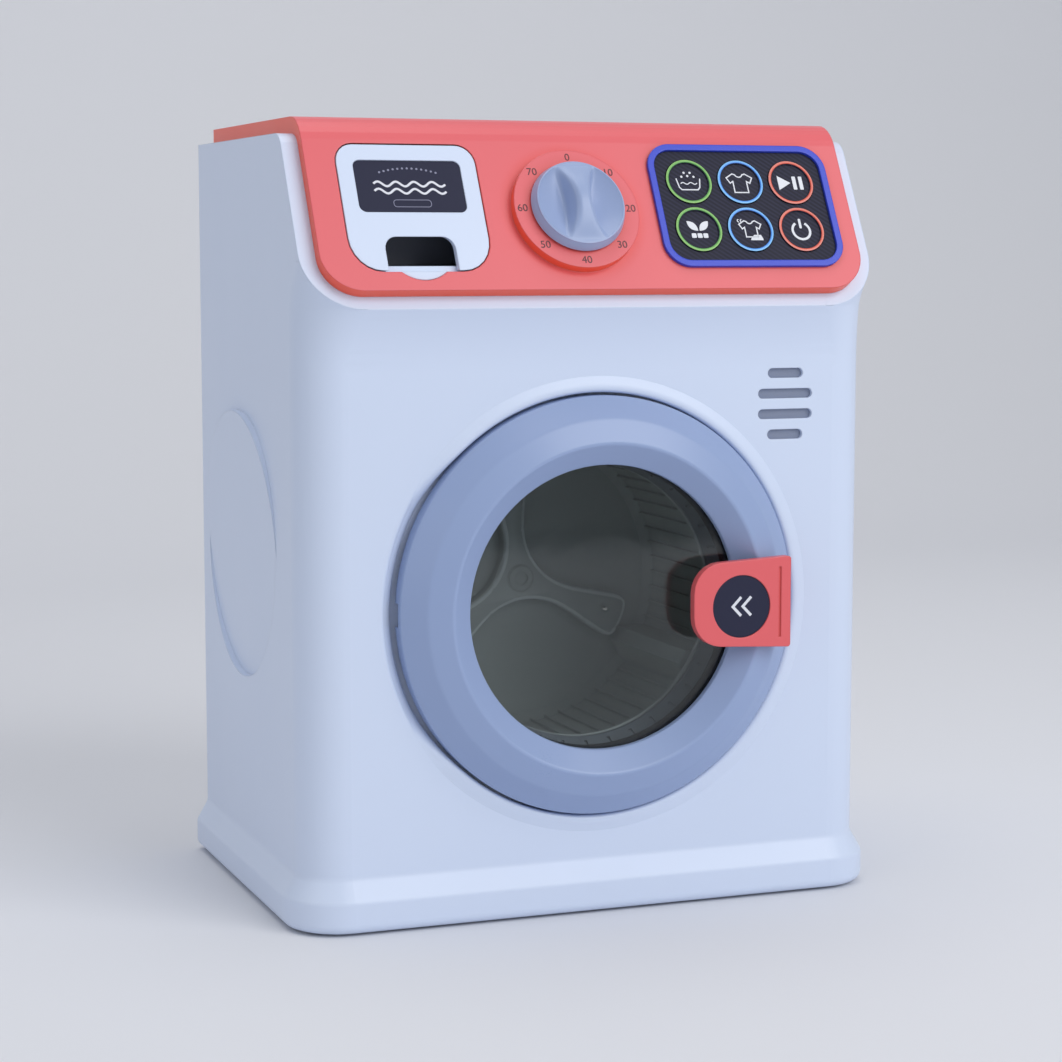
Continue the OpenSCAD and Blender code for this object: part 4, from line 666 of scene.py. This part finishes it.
def knob_mesh(forms, rings=64, count=180):
    """The knob: a dished disc with a raised bar across it, on its shaft."""
    radius, lip, base, top, shaft = 16.0, 14.5, 7.7, 11.7, 4.0
    fall_w = 1.25  # width over which the bar's sides fall
    tip = 0.92 * lip
    tip_x = math.sqrt(lip * lip - tip * tip)
    waist, crown, dish = forms.bar_w / MM / 2, forms.bar_h / MM, forms.dish / MM

    def height(x, y):
        """Height of the top over a place, with the bar along Y."""
        x, along = abs(x), min(abs(y) / tip, 1.0)
        edge = waist + (tip_x - waist) * along * along
        swell = crown * (1 - along * along) ** 1.2
        if x <= edge or along >= 1.0:
            return top + swell * (1 - 0.25 * min(x / edge, 1.0) ** 4)
        reach = max(math.sqrt(max(lip * lip - y * y, 1e-6)) - edge, 1e-6)
        out = min((x - edge) / reach, 1.0)
        fall = math.exp(-((out * reach / fall_w) ** 2))
        bowl = dish * (1 - along ** 2.2) * (1 - fall) * (1 - out ** 2.0) ** 0.9
        return top + 0.75 * swell * fall - bowl

    wall = (
        (lip + 0.45, top - 0.12), (radius - 1.0, top - 0.5), (radius - 0.75, top - 1.1),
        (radius - 0.3, base + 1.8), (radius, base + 0.6), (radius - 0.6, base), (shaft, base),
        (shaft, shaft_foot("knob")),
    )
    bm = bmesh.new()
    around = spokes(count)
    loops = []
    for i in range(1, rings + 1):
        row = [(lip * i / rings * c, lip * i / rings * s) for c, s in around]
        loops.append([bm.verts.new((x, y, height(x, y))) for x, y in row])
    for r, h in wall:
        loops.append([bm.verts.new((r * c, r * s, h)) for c, s in around])
    bridge(bm, loops)
    peak = bm.verts.new((0, 0, height(0, 0)))
    for k in range(count):
        bm.faces.new((peak, loops[0][k], loops[0][(k + 1) % count])).smooth = True
    bm.faces.new(list(reversed(loops[-1]))).smooth = True
    return make_mesh(bm, "knob_grip", panel_place(*DIAL_PLACE, 0), 50)


# ---------- the drum ----------


def drum_mesh(forms, count=144):
    """The drum: ribbed wall, lifters, and a back plate with a three-armed relief round its hub."""
    lo, hi = (Vector(corner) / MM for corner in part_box("drum"))
    mid_z, outer, front, back = (lo.z + hi.z) / 2, (hi.z - lo.z) / 2, lo.y, hi.y
    wall, plate, bore, hub = 1.8, 2.4, 2.5, 5.2
    inner, mouth = outer - wall, outer - 8.5
    inside = back - plate
    face, hub_face = back - 8.4, back - 9.2  # the relief's front, and the hub's
    lifter_from, lifters = 210, 3
    bm = bmesh.new()

    def add_loops(rings, closed=True):
        """Skins a row of rings of (x, depth, height) points."""
        made = [[bm.verts.new((x, y, mid_z + z)) for x, y, z in ring] for ring in rings]
        bridge(bm, made, closed)
        return made

    def circles(profile):
        """Rings round the drum's axis, from radii and depths."""
        return [[(r * c, y, r * s) for c, s in spokes(count)] for r, y in profile]

    add_loops(circles((
        (mouth, front + wall), (mouth, front + 0.5), (mouth + 0.5, front), (outer - 1.5, front),
        (outer, front + 1.5), (outer, back - 2), (outer - 2, back), (bore, back), (bore, inside),
        (inner - 3, inside), (inner, inside - 3), (inner, front + wall + 1.0), (inner - 1.0, front + wall),
    )))
    sleeve = bore + 0.05
    add_loops(circles((
        (sleeve, back - 1), (hub, back - 1), (hub, hub_face + 1), (hub - 1, hub_face), (sleeve, hub_face),
    )))
    outline = relief_outline(forms)
    steps = ((0, inside + 0.2), (0.1, face + 1.5), (0.5, face + 0.45), (1.5, face))
    made = add_loops([
        [(spot.x + way.x * pull, y, spot.y + way.y * pull) for spot, way in outline] for pull, y in steps
    ], closed=False)
    # Faces on the relief's rounded edge take the second slot, a painted highlight.
    painted_highlight_verts = {vertex for ring in made[1:] for vertex in ring}
    for item in bm.faces:
        if painted_highlight_verts.issuperset(item.verts):
            item.material_index = 1
    bm.faces.new(made[-1])
    bm.faces.new(list(reversed(made[0])))
    for i in range(forms.ribs):
        turn = 2 * math.pi * i / forms.ribs
        add_bar(bm, turn, mid_z, (inner + 0.3, inner - 0.9), (0.45, 0.3), front + wall, inside)
    for i in range(lifters):
        turn = math.radians(lifter_from + i * 360 / lifters)
        add_bar(bm, turn, mid_z, (inner + 0.4, inner - 8), (8.5, 2.6), front + 3, inside)
    return make_mesh(bm, "drum_ribbed", Matrix(), 40)


def relief_outline(forms, count=240):
    """Places and inward directions round a three-armed relief with softened corners."""
    reach, away, bite = forms.arm_r / MM, forms.bite_away / MM, forms.bite_r / MM
    first, third, softening = math.degrees(forms.relief_turn), 120, 16
    spots = []
    for k, (across, up) in enumerate(spokes(4 * count)):
        off = math.radians((90 * k / count - first + third / 2) % third - third / 2)
        chord = bite * bite - (away * math.sin(off)) ** 2
        radius = away * math.cos(off) - math.sqrt(chord) if chord > 0 else reach
        spots.append(Vector((radius * across, radius * up)))
    spots = even_spots(spots, count)
    for _ in range(softening):
        spots = [(spots[k - 1] + 2 * spots[k] + spots[(k + 1) % count]) / 4 for k in range(count)]
    ways = [(spots[(k + 1) % count] - spots[k - 1]).normalized() for k in range(count)]
    return [(spot, Vector((-way.y, way.x))) for spot, way in zip(spots, ways)]


def even_spots(spots, count):
    """Places at equal steps round a closed line."""
    ends = spots[1:] + spots[:1]
    step = sum((b - a).length for a, b in zip(spots, ends)) / count
    found, gone, due = [], 0.0, 0.0
    for a, b in zip(spots, ends):
        span = (b - a).length
        while due < gone + span and len(found) < count:
            found.append(a.lerp(b, (due - gone) / span))
            due += step
        gone += span
    return found


def add_bar(bm, turn, mid_z, reach, half, front, back):
    """A bar along the drum's wall: radius and half-width at its foot and at its crown."""
    out = Vector((math.cos(turn), 0, math.sin(turn)))
    side = Vector((-math.sin(turn), 0, math.cos(turn)))
    corners = ((reach[0], -half[0]), (reach[1], -half[1]), (reach[1], half[1]), (reach[0], half[0]))
    rows = []
    for y in (front, back):
        rows.append([bm.verts.new(out * r + side * w + Vector((0, y, mid_z))) for r, w in corners])
    for k in range(4):
        after = (k + 1) % 4
        bm.faces.new((rows[0][k], rows[1][k], rows[1][after], rows[0][after]))
    bm.faces.new(rows[0])
    bm.faces.new(list(reversed(rows[1])))


# ---------- prints ----------


def arc(x, y, r, start, end, steps=16):
    """Points of an arc, angles in degrees."""
    turns = [math.radians(start + (end - start) * i / steps) for i in range(steps + 1)]
    return [Vector((x + r * math.cos(t), y + r * math.sin(t))) for t in turns]


def points(*pairs):
    """The corners of a shape."""
    return [Vector(pair) for pair in pairs]


def stroke(path, width, closed=False):
    """Quads along a drawn line of the given width, mitred at its corners."""
    count, sides = len(path), []
    for i, here in enumerate(path):
        ways = []
        if closed or i > 0:
            ways.append((here - path[i - 1]).normalized())
        if closed or i < count - 1:
            ways.append((path[(i + 1) % count] - here).normalized())
        along = sum(ways, Vector((0, 0))).normalized()
        left = Vector((-along.y, along.x))
        reach = width / 2 / max(0.45, abs(along.dot(ways[0])))
        sides.append((here + left * reach, here - left * reach))
    pairs = range(count if closed else count - 1)
    return [[sides[i][1], sides[(i + 1) % count][1], sides[(i + 1) % count][0], sides[i][0]] for i in pairs]


def round_box(x, y, w, h, r, steps=6):
    """Outline of a box with round corners."""
    outline = []
    for cx, cy, start in ((1, 1, 0), (-1, 1, 90), (-1, -1, 180), (1, -1, 270)):
        outline += arc(x + cx * (w / 2 - r), y + cy * (h / 2 - r), r, start, start + 90, steps)
    return outline


def print_plate(name, polygons, thickness, place):
    """A thin raised print: 2D polygons in millimetres, thickened and set on a surface."""
    bm = bmesh.new()
    for polygon in polygons:
        bm.faces.new([bm.verts.new((p.x, p.y, 0.0)) for p in polygon])
    bmesh.ops.remove_doubles(bm, verts=bm.verts, dist=0.001)
    made = bmesh.ops.extrude_face_region(bm, geom=list(bm.faces))
    tops = [item for item in made["geom"] if isinstance(item, bmesh.types.BMVert)]
    bmesh.ops.translate(bm, verts=tops, vec=(0, 0, thickness / MM))
    return make_mesh(bm, name, place)


def number_mesh(word, height, ink):
    """A number in the plain built-in face, centred."""
    curve = bpy.data.curves.new("number", "FONT")
    curve.body, curve.size, curve.extrude = word, height * 1.35, ink / 2
    curve.align_x, curve.align_y = "CENTER", "CENTER"
    holder = show("number", curve)
    bpy.context.view_layer.update()
    mesh = bpy.data.meshes.new_from_object(holder.evaluated_get(bpy.context.evaluated_depsgraph_get()))
    bpy.data.objects.remove(holder)
    bpy.data.curves.remove(curve)
    mesh.transform(Matrix.Translation((0, 0, ink / 2)))
    return mesh


def shirt_outline(x, y, size):
    """Outline of a short-sleeved shirt."""
    right = [(0.16, 0.36), (0.27, 0.4), (0.56, 0.22), (0.43, -0.02), (0.3, 0.06), (0.3, -0.44)]
    left = [(-px, py) for px, py in reversed(right)]
    neck = [(spot.x, spot.y) for spot in arc(0, 0.42, 0.17, 200, 340, 6)[1:-1]]
    return [Vector((x + px * size, y + py * size)) for px, py in right + left + neck]


def basin_mark(line):
    """A wash basin with a wave and five drops."""
    tub = points((-4.3, 1.3), (-3.7, -2.0), (-2.9, -2.9), (2.9, -2.9), (3.7, -2.0), (4.3, 1.3))
    wave = [Vector((x * 0.5, -0.5 + 0.35 * math.sin(x * 1.1))) for x in range(-6, 7)]
    places = ((-2.2, 2.0), (0.0, 2.3), (2.2, 2.0), (-1.1, 3.5), (1.1, 3.5))
    drops = [arc(x, y, 0.42, 0, 360, 12)[:-1] for x, y in places]
    return stroke(tub, line) + stroke(wave, line * 0.8) + drops


def shirt_mark(line):
    """A shirt."""
    return stroke(shirt_outline(0, -0.1, 8.4), line, closed=True)


def play_mark(_line):
    """A triangle and two bars, filled."""
    bars = [round_box(x, 0, 1.35, 5.0, 0.25, 2) for x in (1.5, 3.9)]
    return [points((-4.6, -2.7), (0.0, 0.0), (-4.6, 2.7))] + bars


def leaf_mark(_line):
    """Two leaves over three squares, filled."""
    rows = [i / 10 for i in range(11)]
    shapes = []
    for way in (1, -1):
        root = Vector((0.25 * way, -0.4))
        tip = Vector((root.x + way * 3.6, 3.2))
        edge = Vector((tip.y - root.y, root.x - tip.x)) * 0.24
        out = [root.lerp(tip, t) + edge * (4 * t * (1 - t)) for t in rows]
        back = [root.lerp(tip, t) - edge * (4 * t * (1 - t)) for t in rows]
        shapes.append(out + back[-2:0:-1])
    return shapes + [round_box(x, -2.2, 1.7, 1.7, 0.3, 2) for x in (-2.1, 0, 2.1)]


def iron_mark(line):
    """A shirt with an iron and its steam."""
    sole = points((-0.6, -3.9), (4.0, -3.9), (4.0, -3.2), (3.4, -1.9), (1.0, -1.9), (-0.2, -3.0))
    steam = [stroke(arc(x, 3.4, 0.5, 90, 270, 6), line * 0.8) for x in (-3.6, -2.5)]
    return stroke(shirt_outline(0.2, 0.5, 7.2), line, closed=True) + [sole] + sum(steam, [])


def power_mark(line):
    """An open ring with a bar at its top."""
    return stroke(arc(0, -0.3, 3.2, 122, 418, 28), line * 2.0) + [round_box(0, 2.4, line * 2.1, 3.6, 0.3, 2)]


BUTTONS = {
    "basin": (-1, 1, basin_mark), "shirt": (0, 1, shirt_mark), "play": (1, 1, play_mark),
    "leaf": (-1, -1, leaf_mark), "iron": (0, -1, iron_mark), "power": (1, -1, power_mark),
}  # column and row on the touch panel, and the mark


def button_place(column, row, h):
    """Frame of a button's middle at a height out of the panel."""
    x, s = TOUCH_PLACE
    return panel_place(x + column * BUTTON_PITCH[0], s + row * BUTTON_PITCH[1] / 2, h)


def ring_mesh(name, inner, outer, height, count=64, bends=10):
    """A ring with a rounded section; V of its UV map runs from the inner edge to the outer one."""
    bm = bmesh.new()
    uv = bm.loops.layers.uv.new("UVMap")
    middle, half = (inner + outer) / 2, (outer - inner) / 2
    turns = [math.pi * k / bends for k in range(bends + 1)]
    section = [(middle - half * math.cos(t), height * math.sin(t) ** 0.5) for t in turns]
    rows = [[bm.verts.new((r * c, r * s, max(z, 0.0))) for r, z in section] for c, s in spokes(count)]
    for i, near in enumerate(rows):
        far = rows[(i + 1) % count]
        for k in range(bends + 1):
            after = (k + 1) % (bends + 1)
            face = bm.faces.new((near[k], far[k], far[after], near[after]))
            face.smooth = after != 0
            for loop in face.loops:
                row = k if loop.vert in (near[k], far[k]) else after
                loop[uv].uv = (i / count, row / bends)
    return make_mesh(bm, name)


# ---------- operators ----------


class Step:
    """What the operators share: they can be undone."""

    bl_options = {"REGISTER", "UNDO"}


class AddCabinet(Step, bpy.types.Operator):
    """Mould the white cabinet and the lip round its door, and finish its covers and feet"""

    bl_idname = "washer.add_cabinet"
    bl_label = "Cabinet and covers"

    def execute(self, context):
        colours = context.scene.washer_colours
        white = moulded("Cabinet white", colours.shell, 0.33, tone=0.02, seam=0.0, round_r=0.0006, **FINE)
        dress(white, "cabinet_shell", "drawer_front", "drawer_chute")
        skin = add_piece(cabinet_mesh(), white, "cabinet")
        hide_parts("cabinet_shell")
        add_piece(rim_mesh(), white, "cabinet")
        cover = moulded("Cover white", colours.cover, 0.5, grain=1500.0, depth=0.00004, round_r=0.0004)
        dress(cover, "rear_cover", "base_plate", "battery_door", "interlock_cap")
        dress(rubber("Foot rubber", paint(0x3B3B3D)), "feet")
        return {"FINISHED"}


class FinishFascia(Step, bpy.types.Operator):
    """Finish the coral fascia, the drawer's label and the touch panel with its buttons"""

    bl_idname = "washer.finish_fascia"
    bl_label = "Fascia and touch panel"

    def execute(self, context):
        colours = context.scene.washer_colours
        # Painted shade: orange-red in the fascia's seams, and a warmer orange-red on its side walls.
        coral = moulded(
            "Coral", colours.fascia, 0.34, seam=0.65, shade=paint(0xE24A2A), side_shade_tint=paint(0xFF5F3C), **SATIN
        )
        dress(coral, "top_fascia")
        dress(moulded("Navy label", colours.label, 0.5, tone=0.08, seam=0.0, shine=0.25), "drawer_label")
        dress(moulded("Royal blue", colours.bezel, 0.32, seam=0.25, round_r=0.0005, **FINE), "touch_bezel")
        dress(hatched("Touch panel", colours.panel), "touch_plate", *("button_" + name for name in BUTTONS))
        return {"FINISHED"}


class AddDrawerTray(Step, bpy.types.Operator):
    """Mould the drawer's tray"""

    bl_idname = "washer.add_drawer_tray"
    bl_label = "Drawer tray"

    def execute(self, context):
        charcoal = moulded("Charcoal", context.scene.washer_colours.charcoal, 0.48, grain=1400.0)
        dress(charcoal, "drawer_box")
        tray = add_piece(tray_mesh(), charcoal, "drawer")
        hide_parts("drawer_box")
        return {"FINISHED"}


class AddKnob(Step, bpy.types.Operator):
    """Mould the knob, and finish its click wheel"""

    bl_idname = "washer.add_knob"
    bl_label = "Knob"

    def execute(self, context):
        grip = moulded("Knob blue-grey", context.scene.washer_colours.knob, 0.3, seam=0.0, **FINE)
        dress(grip, "knob")
        piece = add_piece(knob_mesh(context.scene.washer_forms), grip, "knob")
        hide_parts("knob")
        dress(moulded("Click wheel", paint(0xB9BBBE), 0.45), "knob_click_wheel")
        return {"FINISHED"}


class FinishDoor(Step, bpy.types.Operator):
    """Finish the door, its window, hinge and latch"""

    bl_idname = "washer.finish_door"
    bl_label = "Door"

    def execute(self, context):
        colours = context.scene.washer_colours
        dress(moulded("Door ring", colours.ring, 0.3, seam=0.0, round_r=0.0006, **FINE), "door_ring")
        dress(moulded("Door back", paint(0xB7C0D4), 0.42, round_r=0.0004), "door_back", "hinge_bracket")
        dress(clear_window("Window", colours.window), "door_window")
        dress(rubber("Door seal", paint(0x2B2C30)), "door_seal")
        # Painted shade: orange-red in the latch handle's seams and inner corners.
        coral = moulded("Latch coral", colours.latch, 0.32, seam=0.5, shade=paint(0xE24A2A), **SATIN)
        dress(coral, "latch_handle")
        dress(moulded("Navy badge", colours.label, 0.4, tone=0.08, seam=0.0, shine=0.3), "latch_badge")
        dress(moulded("Interlock red", paint(0xB02A24), 0.35), "interlock_pin")
        return {"FINISHED"}


class AddDrum(Step, bpy.types.Operator):
    """Make the drum, and finish the ring and the tub round it"""

    bl_idname = "washer.add_drum"
    bl_label = "Drum and tub"

    def execute(self, context):
        colours = context.scene.washer_colours
        # Painted shade darkens the drum's inner corners, round its relief and ribs.
        inside = moulded("Drum grey", colours.drum, 0.3, tone=0.06, seam=0.55, **FINE)
        dress(inside, "drum")
        piece = add_piece(drum_mesh(context.scene.washer_forms), inside, "drum")
        # Painted highlight on the relief's rounded edges.
        piece.data.materials.append(moulded("Relief edge", colours.edge, 0.18, seam=0.0))
        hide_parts("drum")
        dress(moulded("Mouth grey", colours.mouth, 0.4, seam=0.0), "mouth_ring")
        dress(moulded("Tub black", colours.tub, 0.5, grain=1200.0, depth=0.00004), "tub")
        return {"FINISHED"}


class FinishWorks(Step, bpy.types.Operator):
    """Finish the gears, the electrics, the pins, springs and screws"""

    bl_idname = "washer.finish_works"
    bl_label = "Works"

    def execute(self, context):
        dress(rubber("Pad rubber", paint(0xB4B6B8)), "button_pad")
        dress(circuit_board("Circuit board", paint(0x1F6B3A)), "control_board")
        dress(moulded("Speaker cone", paint(0x2F3032), 0.6, grain=500.0, depth=0.0001), "speaker")
        dress(metal("Motor can", paint(0xB4B5B6), 0.4), "motor")
        dress(moulded("Cell wrap", paint(0x2E7A4A), 0.3, tone=0.1), "battery_cells")
        nylon = moulded("Gear nylon", context.scene.washer_colours.gears, 0.42, tone=0.05)
        dress(nylon, "drum_gear", "reduction_gear")
        dress(moulded("Gear cover", paint(0x9FA4A8), 0.46), "gear_cover")
        dress(
            metal("Plated steel", paint(0xC3C5C9)), "knob_click_spring", "hinge_pin", "latch_pin",
            "latch_spring", "interlock_spring", "drum_shaft", "reduction_axle", "battery_contacts",
            "rear_screws", "base_screws", "door_screws", "inner_screws", "panel_screws",
        )
        dress(metal("Brass", paint(0xC9A452), 0.32), "drum_bush", "motor_pinion")
        return {"FINISHED"}


class AddSpeakerCloth(Step, bpy.types.Operator):
    """Lay cloth in the four slots before the speaker"""

    bl_idname = "washer.add_speaker_cloth"
    bl_label = "Speaker cloth"

    def execute(self, context):
        forms = context.scene.washer_forms
        pitch, high, corner = 6.85, 3.4, 1.69
        rows = ((13.1, 1.5), (20.1, 0.5), (20.1, -0.5), (13.1, -1.5))
        shapes = [round_box(0, lift * pitch, wide, high, corner, 8) for wide, lift in rows]
        spot = SPEAKER_PLACE + Vector((0, forms.cloth_depth + forms.cloth_t, 0))
        mesh = print_plate("speaker_cloth", shapes, forms.cloth_t, front_place(spot))
        cloth = woven("Speaker cloth", context.scene.washer_colours.cloth)
        add_piece(mesh, cloth, "cabinet")
        return {"FINISHED"}


class AddButtonRings(Step, bpy.types.Operator):
    """Lay a lit ring on each of the six buttons"""

    bl_idname = "washer.add_button_rings"
    bl_label = "Button rings"

    def execute(self, context):
        marks = context.scene.washer_marks
        lights = (
            lit_ring("Green light", paint(0x3F8A3A), paint(0x97C673), marks.glow),
            lit_ring("Blue light", paint(0x1D6FD0), paint(0x8CCBF6), marks.glow),
            lit_ring("Red light", paint(0xC23B1C), paint(0xDF8F83), marks.glow),
        )
        for name, (column, row, _mark) in BUTTONS.items():
            mesh = ring_mesh("ring_" + name, marks.ring_in, marks.ring_out, marks.ring_h)
            mesh.transform(button_place(column, row, BUTTON_RIM_H))
            add_piece(mesh, lights[column + 1], "button_" + name)
        return {"FINISHED"}


class AddButtonMarks(Step, bpy.types.Operator):
    """Print a white mark on each of the six buttons"""

    bl_idname = "washer.add_button_marks"
    bl_label = "Button marks"

    def execute(self, context):
        marks = context.scene.washer_marks
        ink = printed("White ink", paint(0xE9ECF4))
        for name, (column, row, mark) in BUTTONS.items():
            place = button_place(column, row, BUTTON_DISH_H)
            mesh = print_plate("mark_" + name, mark(marks.line / MM), marks.ink, place)
            add_piece(mesh, ink, "button_" + name)
        return {"FINISHED"}


class AddDialNumbers(Step, bpy.types.Operator):
    """Print the numbers round the dial"""

    bl_idname = "washer.add_dial_numbers"
    bl_label = "Dial numbers"

    def execute(self, context):
        marks = context.scene.washer_marks
        whole = bmesh.new()
        for i in range(marks.numbers):
            turn = math.radians(90 - i * 360 / marks.numbers)
            mesh = number_mesh(str(i * 10), marks.number_h, marks.ink)
            spot = (marks.number_r * math.cos(turn), marks.number_r * math.sin(turn), 0)
            mesh.transform(Matrix.Translation(spot))
            whole.from_mesh(mesh)
            bpy.data.meshes.remove(mesh)
        mesh = make_mesh(whole, "dial_numbers", outward=False)
        mesh.transform(panel_place(*DIAL_PLACE, DIAL_PLATE_H))
        add_piece(mesh, printed("Dark ink", paint(0x5A3038)), "cabinet")
        return {"FINISHED"}


class AddNavyPrints(Step, bpy.types.Operator):
    """Print plain waves and dots on the drawer's label, and two chevrons on the latch's badge"""

    bl_idname = "washer.add_navy_prints"
    bl_label = "Label and badge prints"

    def execute(self, context):
        waves, chevrons = [], []
        for row in (0.9, -1.7):
            path = [Vector((x * 0.5, row + 0.85 * math.sin(x * 0.52))) for x in range(-24, 25)]
            waves += stroke(path, 0.75)
        dots = [arc(spot.x, spot.y, 0.38, 0, 360, 10)[:-1] for spot in arc(0, -24, 30.6, 108, 72, 12)]
        dots += stroke(round_box(0, -6.1, 12.5, 2.5, 1.0), 0.22, closed=True)
        for x in (-1.6, 2.0):
            chevrons += stroke(points((x + 1.5, 3.1), (x - 1.5, 0), (x + 1.5, -3.1)), 0.95)
        label, badge = panel_place(*LABEL_PLACE, LABEL_H), front_place(BADGE_PLACE)
        for name, shapes, place, ink, tint, body in (
            ("label_waves", waves, label, "Label white", 0xE4E6F0, "drawer"),
            ("label_dots", dots, label, "Label grey", 0x8A8CA6, "drawer"),
            ("badge_chevrons", chevrons, badge, "Badge white", 0xE9ECF4, "latch"),
        ):
            mesh = print_plate(name, shapes, context.scene.washer_marks.ink, place)
            add_piece(mesh, printed(ink, paint(tint)), body)
        return {"FINISHED"}


class SetStage(Step, bpy.types.Operator):
    """Lay the floor and backdrop, hang the lights and place the camera"""

    bl_idname = "washer.set_stage"
    bl_label = "Stage"

    def execute(self, context):
        looks = context.scene.washer_stage
        lay_floor(looks)
        hang_lights(looks)
        place_camera(looks)
        context.scene.view_settings.view_transform = "Standard"
        return {"FINISHED"}


def lay_floor(looks):
    """A floor that curves up into a backdrop."""
    bm = bmesh.new()
    near, back, bend, wide, high = -3.0, 1.4, 0.6, 4.0, 3.2
    turns = (math.pi / 24 * k for k in range(1, 13))
    path = [(near, 0.0), (back - bend, 0.0)]
    path += [(back - bend + bend * math.sin(t), bend - bend * math.cos(t)) for t in turns]
    path.append((back, high))
    rows = [[bm.verts.new((x, y, z)) for x in (-wide, wide)] for y, z in path]
    for low, up in zip(rows, rows[1:]):
        bm.faces.new((low[0], low[1], up[1], up[0])).smooth = True
    mesh = make_mesh(bm, "studio_floor", outward=False)
    w = Finish("Studio paper")
    cloud = w.spread(w.noise(2.5), 0.0, 0.3)
    surface = w.mix(cloud, looks.floor, toned(looks.floor, 0.97))
    mesh.materials.append(w.close(surface, w.spread(w.noise(60.0), 0.8, 0.9)))
    show("studio_floor", mesh)


def aim(name, data, eye, target):
    """A lamp or camera at one place that looks at another."""
    holder = show(name, data)
    holder.location = eye
    holder.rotation_euler = (Vector(target) - Vector(eye)).to_track_quat("-Z", "Y").to_euler()
    return holder


def hang_lights(looks):
    """Three soft boxes and a pale room."""
    boxes = (
        ("key", (0.75, -1.35, 1.15), 1.3, looks.key),
        ("fill", (-1.6, -0.7, 0.7), 1.2, looks.fill),
        ("top", (-0.1, 0.15, 1.7), 1.2, looks.top),
    )
    for name, place, size, watts in boxes:
        lamp = bpy.data.lights.new(name, "AREA")
        lamp.shape, lamp.size, lamp.energy = "SQUARE", size, watts
        aim(name, lamp, place, (0, 0, 0.12))
    world = bpy.data.worlds.new("Room")
    world.use_nodes = True
    room = world.node_tree.nodes["Background"].inputs
    room["Color"].default_value = (0.93, 0.96, 1.0, 1.0)
    room["Strength"].default_value = looks.sky
    bpy.context.scene.world = world


def place_camera(looks):
    """The camera, a little to the left and slightly above."""
    camera = bpy.data.cameras.new("Camera")
    camera.lens = looks.lens
    camera.clip_start, camera.clip_end = 0.05, 20.0
    bpy.context.scene.camera = aim("Camera", camera, (-0.3137, -0.8239, 0.2208), (-0.0085, -0.0189, 0.1235))


class WasherPanel(bpy.types.Panel):
    """Sizes, colours and steps of the toy washing machine"""

    bl_idname = "WASHER_PT_main"
    bl_label = "Toy washing machine"
    bl_space_type = "VIEW_3D"
    bl_region_type = "UI"
    bl_category = "Toy washer"

    def draw(self, context):
        for name, group in SETTINGS.items():
            box = self.layout.box()
            for key in group.__annotations__:
                box.prop(getattr(context.scene, name), key)
        for step in STEPS:
            self.layout.operator(step.bl_idname)


STEPS = (
    AddCabinet, FinishFascia, AddDrawerTray, AddKnob, FinishDoor, AddDrum, FinishWorks,
    AddSpeakerCloth, AddButtonRings, AddButtonMarks, AddDialNumbers, AddNavyPrints,
    SetStage,
)
SETTINGS = {
    "washer_colours": WasherColours, "washer_marks": MarkSizes, "washer_forms": FormSizes,
    "washer_stage": StageLooks,
}
CLASSES = tuple(SETTINGS.values()) + STEPS + (WasherPanel,)


def register():
    """Adds the settings, the operators and the panel to Blender."""
    for item in CLASSES:
        bpy.utils.register_class(item)
    for name, group in SETTINGS.items():
        setattr(bpy.types.Scene, name, PointerProperty(type=group))


def unregister():
    """Takes them out again."""
    for name in SETTINGS:
        delattr(bpy.types.Scene, name)
    for item in reversed(CLASSES):
        bpy.utils.unregister_class(item)


def main():
    """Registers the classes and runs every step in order."""
    register()
    for step in STEPS:
        getattr(bpy.ops.washer, step.bl_idname.split(".")[1])()


if __name__ == "__main__":
    main()
